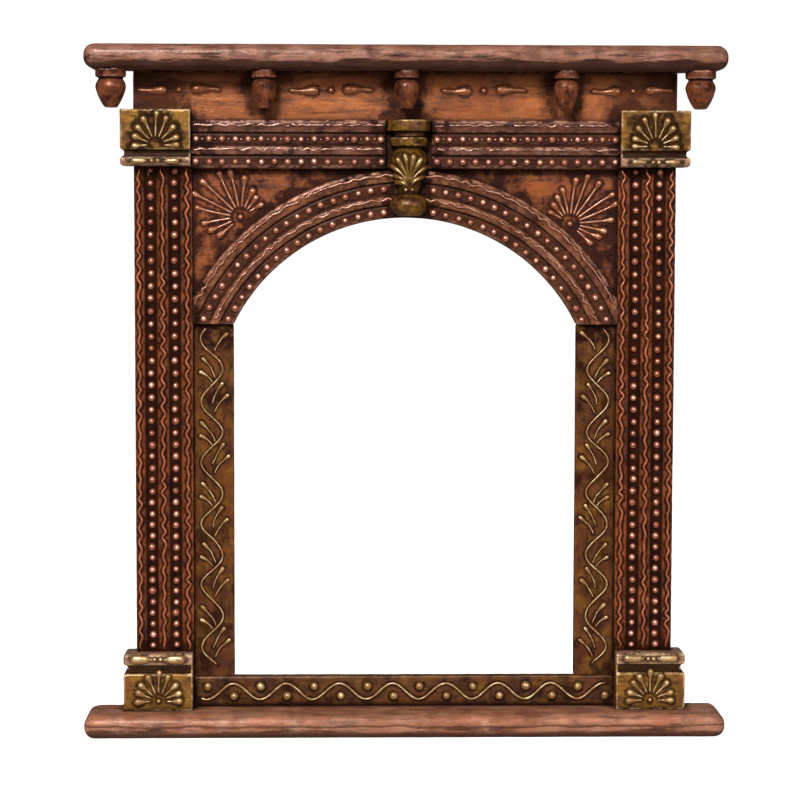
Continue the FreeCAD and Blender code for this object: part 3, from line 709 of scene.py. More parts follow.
def moulding_outline():
    """The section of the beaded moulding, from its lower back corner round to its upper one."""
    edge_height = 2.0
    points = [(0.0, 0.0), (0.0, edge_height)]
    points += band_outline(0.35, 7.2)
    points.append((8.0, GROOVE_HEIGHT))
    points += ridge_outline(*RIDGES["low"], side_height=4.2, steps=9)
    points.append((15.0, GROOVE_HEIGHT))
    points += band_outline(15.8, 22.0)
    points.append((22.8, GROOVE_HEIGHT))
    points += ridge_outline(*RIDGES["top"], side_height=4.0, steps=11)
    points += [(MOULDING_WIDTH, edge_height), (MOULDING_WIDTH, 0.0)]
    return points


def skin_sweep(rings):
    """A closed skin through rings of equal count, capped at both ends."""
    work = bmesh.new()
    rows = [[work.verts.new(place) for place in ring] for ring in rings]
    count = len(rows[0])
    for row, following in zip(rows, rows[1:]):
        for index in range(count):
            after = (index + 1) % count
            work.faces.new((row[index], row[after], following[after], following[index]))
    work.faces.new(rows[0])
    work.faces.new(list(reversed(rows[-1])))
    bmesh.ops.recalc_face_normals(work, faces=work.faces)
    return work


def cut_away(work, place, direction):
    """Cuts off what lies on the far side of a plane and closes the cut."""
    parts = work.verts[:] + work.edges[:] + work.faces[:]
    cut = bmesh.ops.bisect_plane(
        work, geom=parts, plane_co=place, plane_no=direction, clear_outer=True
    )
    edges = [e for e in cut["geom_cut"] if isinstance(e, bmesh.types.BMEdge)]
    bmesh.ops.edgenet_fill(work, edges=edges)


def finish_sweep(work):
    bmesh.ops.recalc_face_normals(work, faces=work.faces)
    bmesh.ops.triangulate(work, faces=[f for f in work.faces if len(f.verts) > 4])
    mesh = bpy.data.meshes.new("sweep")
    work.to_mesh(mesh)
    work.free()
    return mesh


def finish_moulding(node, work, seed, paint, neighbours):
    """Wears a swept moulding, marks its sunk bands and what lies near, and adds it."""
    mesh = finish_sweep(work)
    wear(mesh, swell=0.25, chips=0.25, let_out=0.1, seed=seed)
    height = box_mm(node)[1].y - vertex_places(mesh)[:, 1]
    front = height > 2.3
    ridge_top = MOULDING_HEIGHT - 0.12
    fully_sunk = 1.1
    share = 0.29
    store(mesh, "sunk", np.clip((ridge_top - height) / fully_sunk, 0, 1) * front * share)
    store_away(mesh)
    store_beside(mesh, neighbours, lift=3.0)
    add_piece(f"{node}_wood", mesh, paint, "dark_copper_paint", node)


def arch_centre():
    """The middle of the arch's curves in X and Z, and the back of its moulding."""
    low, high = box_mm("right_arch_moulding")
    return Vector((0, high.y, low.z - SPRINGING_RISE))


def arch_moulding(side):
    """Half an arch swept from the crown past its foot, then cut off square at both ends."""
    node = f"{side}_arch_moulding"
    sign = SIDES[side]
    centre = arch_centre()
    outline = moulding_outline()
    steps = 150
    crown = math.pi / 2
    below_foot = math.radians(18.5)
    rings = []
    for step in range(steps + 1):
        angle = crown - (crown - below_foot) * step / steps
        ring = []
        for across, height in outline:
            reach = ARCH_RADIUS + across
            x = sign * reach * math.cos(angle)
            ring.append(point(x, centre.y - height, centre.z + reach * math.sin(angle)))
        rings.append(ring)
    work = skin_sweep(rings)
    foot = box_mm(node)[0].z
    post_face = near_and_far(node, sign)[1]
    cut_away(work, point(0, 0, foot), Vector((0, 0, -1)))
    cut_away(work, point(post_face, 0, 0), Vector((sign, 0, 0)))
    neighbours = ("keystone_turning", f"{side}_post", f"{side}_architrave")
    finish_moulding(node, work, 11.0 + sign, "arch", neighbours)


def architrave(side):
    node = f"{side}_architrave"
    low, high = box_mm(node)
    outline = moulding_outline()
    steps = 110
    rings = []
    for step in range(steps + 1):
        x = low.x + (high.x - low.x) * step / steps
        rings.append([point(x, high.y - height, low.z + across) for across, height in outline])
    neighbours = ("keystone_turning", f"{side}_capital")
    finish_moulding(node, skin_sweep(rings), 15.0 + SIDES[side], "moulding", neighbours)


# ---------------------------------------------------------------- piped relief trees


def relief_tree(name, sizes):
    """A geometry tree with a guide, named sizes, a seed and a paint."""
    tree = bpy.data.node_groups.new(name, "GeometryNodeTree")
    tree.interface.new_socket("Guide", in_out="INPUT", socket_type="NodeSocketGeometry")
    for label, value in sizes.items():
        socket = tree.interface.new_socket(label, in_out="INPUT", socket_type="NodeSocketFloat")
        socket.default_value = value
    tree.interface.new_socket("Seed", in_out="INPUT", socket_type="NodeSocketInt")
    tree.interface.new_socket("Paint", in_out="INPUT", socket_type="NodeSocketMaterial")
    tree.interface.new_socket("Relief", in_out="OUTPUT", socket_type="NodeSocketGeometry")
    nodes = Nodes(tree)
    given = nodes.add("NodeGroupInput").outputs
    curve = nodes.add("GeometryNodeMeshToCurve", {"Mesh": given["Guide"]}).outputs[0]
    return tree, nodes, given, curve


def close_tree(nodes, given, geometry):
    """Realizes and paints what a relief tree has made."""
    real = nodes.add("GeometryNodeRealizeInstances", {"Geometry": geometry}).outputs[0]
    painted = nodes.add("GeometryNodeSetMaterial", {"Geometry": real, "Material": given["Paint"]})
    nodes.feed(nodes.add("NodeGroupOutput").inputs[0], painted.outputs[0])


def resampled(nodes, curve, length):
    names = {"Curve": curve, "Length": length}
    return nodes.add("GeometryNodeResampleCurve", names, mode="LENGTH").outputs[0]


def moved(nodes, geometry, offset):
    names = {"Geometry": geometry, "Offset": offset}
    return nodes.add("GeometryNodeSetPosition", names).outputs[0]


def around_one(nodes, uneven, seed, own_number=None):
    """A random size between 1 - uneven and 1 + uneven."""
    node = nodes.add("FunctionNodeRandomValue", data_type="FLOAT")
    nodes.feed(node.inputs[2], nodes.math("SUBTRACT", 1.0, uneven))
    nodes.feed(node.inputs[3], nodes.math("ADD", 1.0, uneven))
    if own_number:
        nodes.feed(node.inputs[7], own_number)
    nodes.feed(node.inputs[8], seed)
    return node.outputs[1]


def random_shift(nodes, reach, seed):
    node = nodes.add("FunctionNodeRandomValue", data_type="FLOAT_VECTOR")
    for index, value in ((0, (-1, -1, -1)), (1, (1, 1, 1)), (8, seed)):
        nodes.feed(node.inputs[index], value)
    return nodes.scale(node.outputs[0], reach)


def unevenness(nodes, seed, fineness, detail, share):
    """Noise along the paste, from minus half to plus half of the share."""
    place = nodes.add("GeometryNodeInputPosition").outputs[0]
    names = {"Vector": place, "W": seed, "Scale": fineness, "Detail": detail}
    rough = nodes.add("ShaderNodeTexNoise", names, noise_dimensions="4D").outputs[0]
    return nodes.math("MULTIPLY", nodes.math("SUBTRACT", rough, 0.5), share)


def bead_tree():
    """Domed beads along a guide, their spacing drifting from one end to the other."""
    sizes = {"Spacing": 8 * MM, "Width": 4 * MM, "Height": 2 * MM, "Drift": 0.0,
             "Wander": 0.25 * MM, "Uneven": 0.12}
    tree, nodes, given, curve = relief_tree("piped_beads", sizes)
    even = resampled(nodes, curve, given["Spacing"])
    along = nodes.add("GeometryNodeSplineParameter").outputs["Factor"]
    bow = nodes.math("SINE", nodes.math("MULTIPLY", along, math.pi))
    tangent = nodes.add("GeometryNodeInputTangent").outputs[0]
    slide = nodes.scale(tangent, nodes.math("MULTIPLY", bow, given["Drift"]))
    wander = random_shift(nodes, given["Wander"], given["Seed"])
    ball = nodes.add("GeometryNodeMeshUVSphere", {"Segments": 10, "Rings": 7, "Radius": 1.0})
    width = nodes.math("MULTIPLY", given["Width"], 0.5)
    size = nodes.add("ShaderNodeCombineXYZ", {"X": width, "Y": given["Height"], "Z": width})
    other_seed = nodes.math("ADD", given["Seed"], 7)
    names = {
        "Points": moved(nodes, even, nodes.vector("ADD", slide, wander)),
        "Instance": ball.outputs[0],
        "Scale": nodes.scale(size.outputs[0], around_one(nodes, given["Uneven"], other_seed)),
    }
    beads = nodes.add("GeometryNodeInstanceOnPoints", names)
    close_tree(nodes, given, beads.outputs[0])
    return tree


def tube(nodes, curve, radius):
    """A tube of that radius along a curve, as a mesh."""
    ring = nodes.add("GeometryNodeCurvePrimitiveCircle", {"Resolution": 8, "Radius": 1.0})
    names = {
        "Curve": curve, "Profile Curve": ring.outputs[0], "Scale": radius, "Fill Caps": True,
    }
    return nodes.add("GeometryNodeCurveToMesh", names).outputs[0]


def line_tree():
    """A piped line that waves from side to side of its guide on a face turned to the front."""
    sizes = {"Step": 0.8 * MM, "Wave Length": 8 * MM, "Wave Height": 1 * MM, "Phase": 0.0,
             "Waver": 0.25, "Thickness": 1.2 * MM, "Uneven": 0.2}
    tree, nodes, given, curve = relief_tree("piped_line", sizes)
    fine = resampled(nodes, curve, given["Step"])
    gone = nodes.add("GeometryNodeSplineParameter").outputs
    spread = unevenness(nodes, given["Seed"], 45.0, 1.0, given["Waver"])
    turns = nodes.math("ADD", nodes.math("DIVIDE", gone["Length"], given["Wave Length"]), spread)
    angle = nodes.math("MULTIPLY", turns, 2 * math.pi)
    angle = nodes.math("ADD", angle, given["Phase"])
    swing = nodes.math("MULTIPLY", nodes.math("SINE", angle), given["Wave Height"])
    more_or_less = nodes.math("ADD", 1.0, nodes.math("MULTIPLY", spread, 2.0))
    swing = nodes.math("MULTIPLY", swing, more_or_less)
    tangent = nodes.add("GeometryNodeInputTangent").outputs[0]
    sideways = nodes.vector("CROSS_PRODUCT", tangent, (0, 1, 0))
    waved = moved(nodes, fine, nodes.scale(sideways, swing))
    lumps = unevenness(nodes, given["Seed"], 260.0, 2.0, given["Uneven"])
    half_width = nodes.math("MULTIPLY", given["Thickness"], nodes.math("ADD", 0.5, lumps))
    near_end = nodes.math("MINIMUM", gone["Factor"], nodes.math("SUBTRACT", 1.0, gone["Factor"]))
    closing = nodes.between(near_end, 0.0, 0.012, 0.15, 1.0)
    close_tree(nodes, given, tube(nodes, waved, nodes.math("MULTIPLY", half_width, closing)))
    return tree


def stroke_tree():
    """Separate piped strokes: a thin stem that ends in a drop-shaped head."""
    sizes = {"Step": 0.5 * MM, "Stem": 0.9 * MM, "Head": 3 * MM, "Tail": 3.5, "Uneven": 0.12}
    tree, nodes, given, curve = relief_tree("piped_strokes", sizes)
    fine = resampled(nodes, curve, given["Step"])
    full = nodes.add("GeometryNodeSplineLength").outputs["Length"]
    gone = nodes.add("GeometryNodeSplineParameter").outputs["Length"]
    own_number = nodes.math("ROUND", nodes.math("MULTIPLY", full, 1e5))
    random_size = around_one(nodes, given["Uneven"], given["Seed"], own_number)
    head = nodes.math("MULTIPLY", nodes.math("MULTIPLY", given["Head"], random_size), 0.5)
    stem = nodes.math("MULTIPLY", given["Stem"], 0.5)
    heads_back = nodes.math("DIVIDE", nodes.math("SUBTRACT", full, gone), head)
    swell = nodes.between(heads_back, given["Tail"], 1.0)
    added = nodes.math("MULTIPLY", swell, nodes.math("SUBTRACT", head, stem))
    wide = nodes.math("ADD", stem, added)
    short = nodes.math("SUBTRACT", 1.0, nodes.math("MINIMUM", heads_back, 1.0))
    closing = nodes.math("SQRT", nodes.math("SUBTRACT", 1.01, nodes.math("POWER", short, 2.0)))
    opening = nodes.between(gone, 0.0, nodes.math("MULTIPLY", stem, 2.0), 0.25, 1.0)
    radius = nodes.math("MULTIPLY", nodes.math("MULTIPLY", wide, closing), opening)
    close_tree(nodes, given, tube(nodes, fine, radius))
    return tree


TREES = {"beads": bead_tree(), "line": line_tree(), "strokes": stroke_tree()}


def guide_mesh(lines):
    """A mesh of plain polylines for a relief tree to follow."""
    work = bmesh.new()
    for line in lines:
        verts = [work.verts.new(place) for place in line]
        for start, end in zip(verts, verts[1:]):
            work.edges.new((start, end))
    mesh = bpy.data.meshes.new("guide")
    work.to_mesh(mesh)
    work.free()
    return mesh


def socket_name(key):
    return key.replace("_", " ").title()


def grow(name, kind, lines, paint, slot, seed, flat=1.0, **sizes):
    """Runs a relief tree along guide lines and keeps the result as a plain piece, pressed
    flat towards the face it lies on."""
    tree = TREES[kind]
    holder = new_holder(guide_mesh(lines))
    modifier = holder.modifiers.new("relief", "NODES")
    modifier.node_group = tree
    given = {socket_name(key): value for key, value in sizes.items()}
    given.update({"Seed": seed, "Paint": PAINTS[paint]})
    for item in tree.interface.items_tree:
        if item.item_type == "SOCKET" and item.in_out == "INPUT" and item.name in given:
            modifier[item.identifier] = given[item.name]
    mesh = evaluated_mesh(holder)
    if flat < 1:
        face = Matrix.Translation((0, lines[0][0].y * (1 - flat), 0))
        mesh.transform(face @ Matrix.Diagonal((1, flat, 1, 1)))
    RELIEF_PLACES.append(vertex_places(mesh) * MM)
    add_piece(name, mesh, paint, slot)


def straight(start, end):
    """A guide from one place to another, both in millimetres."""
    return [point(*start), point(*end)]


def spot(x, y, z):
    """A guide so short that a single bead grows on it."""
    return straight((x, y, z), (x + 0.01, y, z))


def arc_line(radius, start_angle, end_angle, y, centre, sign):
    """A guide round the arch, angles in degrees from the horizontal."""
    steps = 60
    line = []
    for step in range(steps + 1):
        angle = math.radians(start_angle + (end_angle - start_angle) * step / steps)
        x = centre.x + sign * radius * math.cos(angle)
        line.append(point(x, y, centre.z + radius * math.sin(angle)))
    return line


# ---------------------------------------------------------------- relief on each piece


def post_relief(side):
    """A row of beads down each flute of a post and a wavy line down each ridge."""
    sign = SIDES[side]
    node = f"{side}_post"
    inner, outer = near_and_far(node, sign)
    front = box_mm(node)[0].y
    bottom = box_mm(f"{side}_plinth")[1].z + 4
    top = box_mm(f"{side}_capital")[0].z - 3
    inner_ridge = abs(outer - inner) - FLUTE_MARGIN - FLUTE_RIDGE - 2 * FLUTE_WIDTH
    first_flute = FLUTE_MARGIN + FLUTE_WIDTH / 2
    floor = front + FLUTE_SINK + PASTE_SINK
    flutes = (first_flute, first_flute + FLUTE_WIDTH + FLUTE_RIDGE)
    for number, inwards in enumerate(flutes, start=1):
        x = outer - sign * inwards
        line = straight((x, floor, top), (x, floor, bottom))
        grow(f"{node}_beads_{number}", "beads", [line], "copper_bead", "dark_copper_paint",
             seed=20 + number + sign, spacing=7.85 * MM, width=4.9 * MM, height=2.7 * MM,
             drift=8 * MM, wander=0.35 * MM)
    ridges = (
        FLUTE_RIDGE / 2,
        FLUTE_MARGIN + FLUTE_WIDTH + FLUTE_RIDGE / 2,
        FLUTE_MARGIN + 2 * FLUTE_WIDTH + FLUTE_RIDGE + inner_ridge / 2,
    )
    crest = front + PASTE_SINK
    for number, inwards in enumerate(ridges, start=1):
        x = outer - sign * inwards
        line = straight((x, crest, top + 2), (x, crest, bottom - 3))
        grow(f"{node}_wave_{number}", "line", [line], "rust_line", "dark_copper_paint",
             seed=30 + number * 3 + sign, wave_length=9.8 * MM, wave_height=0.85 * MM,
             phase=number * 1.1, waver=1.6, thickness=1.8 * MM, uneven=0.4)


# A wave on a moulding's ridge lies this far towards its upper or outer edge
WAVE_SHIFT = 0.7


def architrave_relief(side):
    """Two rows of beads, a row of small dots and two wavy lines on a straight moulding."""
    sign = SIDES[side]
    node = f"{side}_architrave"
    low, high = box_mm(node)
    inner, outer = near_and_far(node, sign)
    from_keystone = 3.2
    from_capital = 3.6
    start = inner + sign * from_keystone
    end = outer - sign * from_capital
    spacing = 8.4
    floor = high.y - BAND_HEIGHT + BEAD_SINK
    wave_sink = 0.75
    crest = high.y - MOULDING_HEIGHT + wave_sink
    for label, across in BEAD_ROWS.items():
        z = low.z + across
        line = straight((start, floor, z), (end, floor, z))
        grow(f"{node}_{label}_beads", "beads", [line], "copper_bead", "dark_copper_paint",
             seed=41 + sign + int(across), spacing=spacing * MM, width=BEAD * MM,
             height=2.4 * MM, drift=0.6 * MM)
    z = low.z + BEAD_ROWS["upper"]
    shift = sign * spacing / 2
    line = straight((start + shift, floor, z), (end - shift, floor, z))
    grow(f"{node}_dots", "beads", [line], "copper_bead", "dark_copper_paint", seed=47 + sign,
         spacing=spacing * MM, width=1.7 * MM, height=1.2 * MM, drift=0.6 * MM, uneven=0.3)
    for label, (first, last) in RIDGES.items():
        z = low.z + (first + last) / 2 + WAVE_SHIFT
        line = straight((inner + sign, crest, z), (outer - sign, crest, z))
        grow(f"{node}_{label}_wave", "line", [line], "ridge_line", "dark_copper_paint",
             seed=50 + int(first) + sign, wave_length=9.5 * MM, wave_height=0.4 * MM,
             waver=3.5, thickness=1.7 * MM, uneven=0.7)


def arch_relief(side):
    """Two rows of beads and two wavy lines round half the arch."""
    sign = SIDES[side]
    node = f"{side}_arch_moulding"
    centre = arch_centre()
    vase_low, vase_high = box_mm("keystone_turning")
    vase_shift = sign * (vase_low.x + vase_high.x) / 2
    post_face = abs(near_and_far(node, sign)[1])
    floor = centre.y - BAND_HEIGHT + BEAD_SINK
    wave_sink = 0.6
    crest = centre.y - MOULDING_HEIGHT + wave_sink
    last_bead = SPRINGING_RISE + 3.2
    first_bead = vase_shift + 16.5
    for label, across in BEAD_ROWS.items():
        radius = ARCH_RADIUS + across
        lowest = math.degrees(math.asin(last_bead / radius))
        highest = math.degrees(math.acos(first_bead / radius))
        line = arc_line(radius, highest, lowest, floor, centre, sign)
        grow(f"{node}_{label}_beads", "beads", [line], "copper_bead", "dark_copper_paint",
             seed=61 + sign + int(across), spacing=8.2 * MM, width=BEAD * MM, height=2.2 * MM,
             drift=0.5 * MM)
    behind_vase = vase_shift + 8
    gap = 1.5
    for label, (first, last) in RIDGES.items():
        radius = ARCH_RADIUS + (first + last) / 2 + WAVE_SHIFT
        highest = math.degrees(math.acos(behind_vase / radius))
        # The outer ridge runs into the post, the inner one down to the foot of the arch
        if radius > post_face:
            lowest = math.degrees(math.acos((post_face - gap) / radius))
        else:
            lowest = math.degrees(math.asin((SPRINGING_RISE + gap) / radius))
        line = arc_line(radius, highest, lowest, crest, centre, sign)
        grow(f"{node}_{label}_wave", "line", [line], "arch_line", "dark_copper_paint",
             seed=70 + int(first) + sign, wave_length=10 * MM, wave_height=0.6 * MM,
             waver=2.6, thickness=1.7 * MM, uneven=0.6)


def ray(centre, y, angle, start, length, curl):
    """One stroke of a fan, from near its centre outwards, angle and curl in degrees."""
    steps = 6
    line = []
    for step in range(steps + 1):
        share = step / steps
        reach = start + (length - start) * share
        turn = math.radians(angle + curl * share**2)
        x = centre[0] + reach * math.cos(turn)
        z = centre[1] + reach * math.sin(turn)
        line.append(point(x, y, z))
    return line


def fan(name, centre, y, angles, lengths, paint, slot, seed, start, stem, head, middle):
    """A fan of teardrop strokes round a centre, with a bead in the middle or none."""
    rays = [
        ray(centre, y, angle, start, length, curl=3 * math.sin(seed + number * 2.3))
        for number, (angle, length) in enumerate(zip(angles, lengths))
    ]
    grow(name, "strokes", rays, paint, slot, seed, stem=stem * MM, head=head * MM)
    if middle:
        grow(f"{name}_bead", "beads", [spot(centre[0], y, centre[1])], paint, slot, seed,
             spacing=1.0, width=middle * MM, height=middle * 0.5 * MM, wander=0.0)


FAN_SINK = 0.15
# The spandrel fans were piped by eye: how many strokes each has, and the height of its centre
SPANDREL_FANS = {"left": (12, 345.5), "right": (13, 341.5)}
FAN_CENTRE = 109.7


def spandrel_fan(side):
    """A fan in the corner of the spandrel, longest towards the corner."""
    sign = SIDES[side]
    count, height = SPANDREL_FANS[side]
    y = box_mm(f"{side}_spandrel")[0].y + FAN_SINK
    first_angle = -42
    sweep = 190
    corner_angle = 48
    angles = []
    lengths = []
    for number in range(count):
        share = number / (count - 1)
        angle = first_angle + sweep * share
        towards = math.cos(math.radians(angle - corner_angle))
        length = 21 + 17.5 * max(0.0, towards) ** 1.6 - 3.5 * share
        angles.append(angle if sign > 0 else 180 - angle)
        lengths.append(length * (1 + 0.04 * math.sin(number * 1.9)))
    fan(f"{side}_spandrel_fan", (sign * FAN_CENTRE, height), y, angles, lengths, "fan_line",
        "orange_copper_paint", seed=80 + sign, start=6, stem=1.65, head=4.5, middle=4.2)


# The shell's centre from the inner edge of its block, and the angles of its nine strokes
SHELL_INWARDS = 22.6
SHELL_ANGLES = [-2 + 23 * number for number in range(9)]
# What differs between a capital and a plinth. Heights are from the foot of the block, the
# blobs' ends are from its middle.
BLOCKS = {
    "capital": SimpleNamespace(
        fan_height=13.6, longest=22.6, shorter=6.4, head=4.3, middle=0.0, seed=91,
        roll_height=3.1, blob=(5, 16), blob_stem=2.8, blob_head=4.2,
    ),
    "plinth": SimpleNamespace(
        fan_height=6.5, longest=21.2, shorter=4.6, head=4.8, middle=2.6, seed=90,
        roll_height=34.5, blob=(3.5, 18.5), blob_stem=4.4, blob_head=6.0,
    ),
}


def block_fan(side, block):
    """The shell of nine strokes on a capital or plinth, and the blobs along its roll."""
    sign = SIDES[side]
    node = f"{side}_{block}"
    sizes = BLOCKS[block]
    low, high = box_mm(node)
    inner = near_and_far(node, sign)[0]
    centre = (inner + sign * SHELL_INWARDS, low.z + sizes.fan_height)
    lengths = [
        sizes.longest - sizes.shorter * abs(math.cos(math.radians(angle))) ** 1.3
        for angle in SHELL_ANGLES
    ]
    fan(f"{node}_shell", centre, low.y + FAN_SINK, SHELL_ANGLES, lengths, "gold_line",
        "gold_paint", seed=sizes.seed + sign, start=5.0, stem=1.2, head=sizes.head,
        middle=sizes.middle)
    y = low.y + 0.4
    z = low.z + sizes.roll_height
    middle = (low.x + high.x) / 2
    near, far = sizes.blob
    blobs = [
        straight((middle + way * near, y, z), (middle + way * far, y, z)) for way in (-1, 1)
    ]
    grow(f"{node}_roll_blobs", "strokes", blobs, "gold_line", "gold_paint", seed=97 + sign,
         flat=0.8, stem=sizes.blob_stem * MM, head=sizes.blob_head * MM, tail=6.0)
    dots = straight((middle - 2, y, z), (middle + 2, y, z))
    grow(f"{node}_roll_dots", "beads", [dots], "gold_line", "gold_paint", seed=99 + sign,
         spacing=3.9 * MM, width=2.9 * MM, height=1.5 * MM)


# The dots between the teardrops of the frieze, as X
FRIEZE_DOTS = (-150, -49.6, 51.5, 150.5)


def frieze_relief():
    """Pairs of teardrops with a dot between, along the middle of the frieze."""
    low, high = box_mm("frieze_board")
    y = low.y + PASTE_SINK
    z = (box_mm("left_architrave")[1].z + high.z) / 2 + 3.5
    tip = 28
    length = 20
    sag = 0.7
    strokes = []
    for middle in FRIEZE_DOTS:
        for way in (-1, 1):
            strokes.append([
                point(middle + way * (tip - length * share), y, z + way * sag * math.sin(share * 3))
                for share in (0, 0.25, 0.5, 0.75, 1)
            ])
    grow("frieze_teardrops", "strokes", strokes, "frieze_paste", "orange_copper_paint", seed=111,
         flat=0.5, stem=2.4 * MM, head=7.4 * MM, tail=4.0)
    dots = [spot(middle, y, z) for middle in FRIEZE_DOTS]
    grow("frieze_dots", "beads", dots, "frieze_paste", "orange_copper_paint", seed=113,
         spacing=1.0, width=4.0 * MM, height=1.8 * MM, wander=0.0)


VINE_PERIOD = 41.5
VINE_SWING = 7.2
VINE_OFFSET = 1.2
FIRST_TURN = 7.5
LOWEST_TURN = 11
SPRIG_LENGTH = 1.22
# Sprigs beside each bend of a vine: start, handle and head, as (inwards, up) from the bend
INNER_SPRIGS = [
    [(0.6, 0.6), (1.6, 6.5), (6.8, 12.7)],
    [(2.4, -5.7), (4.6, 0.6), (10.6, 4.5)],
]
OUTER_SPRIGS = [
    [(-0.6, -3.8), (-2.0, 2.0), (-8.5, 7.6)],
    [(-2.4, -7.6), (-4.6, -3.4), (-9.9, -1.6)],
]


def drawn_out(path, share):
    """The same path made longer or shorter from its head."""
    head = path[-1]
    return [tuple(h + share * (v - h) for v, h in zip(place, head)) for place in path]


def bent(path):
    """A smooth curve through a start, a handle and an end."""
    steps = 8
    (x0, z0), (x1, z1), (x2, z2) = path
    curve = []
    for step in range(steps + 1):
        t = step / steps
        x = (1 - t) ** 2 * x0 + 2 * t * (1 - t) * x1 + t**2 * x2
        z = (1 - t) ** 2 * z0 + 2 * t * (1 - t) * z1 + t**2 * z2
        curve.append((x, z))
    return curve


def stile_vine(side):
    """A vine down the stile, with a pair of budding sprigs in the hollow of every bend."""
    sign = SIDES[side]
    low, high = box_mm(f"{side}_stile")
    middle = (low.x + high.x) / 2 + sign * VINE_OFFSET
    y = low.y + PASTE_SINK
    top = high.z - 2.6
    bottom = low.z + 7.4
    phase = sign * math.pi / 2 - 2 * math.pi * FIRST_TURN / VINE_PERIOD
    grow(f"{side}_stile_vine", "line", [straight((middle, y, top), (middle, y, bottom))],
         "gold_line", "gold_paint", seed=120 + sign, wave_length=VINE_PERIOD * MM,
         wave_height=VINE_SWING * MM, phase=phase, waver=0.10, thickness=1.25 * MM, uneven=0.3)
    sprigs = []
    turn = top - FIRST_TURN
    number = 0
    while turn > bottom + LOWEST_TURN:
        for path in OUTER_SPRIGS if number % 2 else INNER_SPRIGS:
            if turn + path[-1][1] > high.z - 1:
                continue
            jitter = 0.7 * math.sin(number * 2.1 + sign)
            sprigs.append([
                point(middle - sign * (VINE_OFFSET + x + jitter * (z > 0)), y, turn + z + jitter)
                for x, z in bent(drawn_out(path, SPRIG_LENGTH))
            ])
        turn -= VINE_PERIOD / 2
        number += 1
    grow(f"{side}_stile_sprigs", "strokes", sprigs, "gold_line", "gold_paint", seed=125 + sign,
         step=0.4 * MM, stem=0.95 * MM, head=3.0 * MM, tail=5.0)


def rail_relief():
    """A wave along the rail with a bead in each bend."""
    low, high = box_mm("bottom_rail")
    y = low.y + PASTE_SINK
    middle = (low.z + high.z) / 2 - 0.2
    start = low.x + 3.6
    end = high.x - 4.4
    period = 35.8
    first_trough = 4.6
    phase = -math.pi / 2 - 2 * math.pi * first_trough / period
    grow("rail_wave", "line", [straight((start, y, middle), (end, y, middle))], "gold_line",
         "gold_paint", seed=131, wave_length=period * MM, wave_height=5.4 * MM, phase=phase,
         waver=0.08, thickness=1.65 * MM, uneven=0.25)
    beads = []
    x = start + first_trough + 0.8
    lift = 3.3
    while x < end - 1:
        beads.append(spot(x, y, middle + lift))
        x += period / 2
        lift = -lift
    grow("rail_beads", "beads", beads, "gold_line", "gold_paint", seed=133, spacing=1.0,
         width=5.6 * MM, height=2.6 * MM, wander=0.4 * MM, uneven=0.12)


# Each leaf of the keystone turning: its lean from upright in degrees, and its length
LEAVES = (
    (-74, 12), (-56, 16), (-39, 19.5), (-23, 22), (-8, 23.5),
    (8, 23), (23, 22), (40, 19.5), (58, 15),
)


def keystone_leaves():
    """Leaf-like strokes that spread up the front of the turned vase."""
    node = "keystone_turning"
    low, high = box_mm(node)
    middle = (low.x + high.x) / 2
    foot = low.z + 18
    surface = node_tree(node)
    steps = 8
    root = 0.18

    def draped(x, z):
        """The place on the vase's front at that X and Z, or the nearest one inwards."""
        hit = surface.ray_cast(point(x, -100, z), Vector((0, 1, 0)))[0]
        if hit is None:
            return draped(middle + 0.95 * (x - middle), z)
        return hit + point(0, PASTE_SINK, 0)

    strokes = []
    for lean, length in LEAVES:
        line = []
        for step in range(steps + 1):
            share = root + (1 - root) * step / steps
            turn = math.radians(lean * (0.35 + 0.65 * share))
            reach = length * share
            line.append(draped(middle + reach * math.sin(turn), foot + reach * math.cos(turn)))
        strokes.append(line)
    grow("keystone_leaves", "strokes", strokes, "leaf", "gold_paint", seed=141,
         step=0.4 * MM, stem=2.1 * MM, head=4.3 * MM, tail=6.0)
    dots = [[draped(middle + x, foot - 1), draped(middle + x, foot - 0.9)] for x in (-2.2, 2.2)]
    grow("keystone_dots", "beads", dots, "leaf", "gold_paint", seed=143, spacing=1.0,
         width=2.6 * MM, height=1.3 * MM, wander=0.0)


# ---------------------------------------------------------------- the object


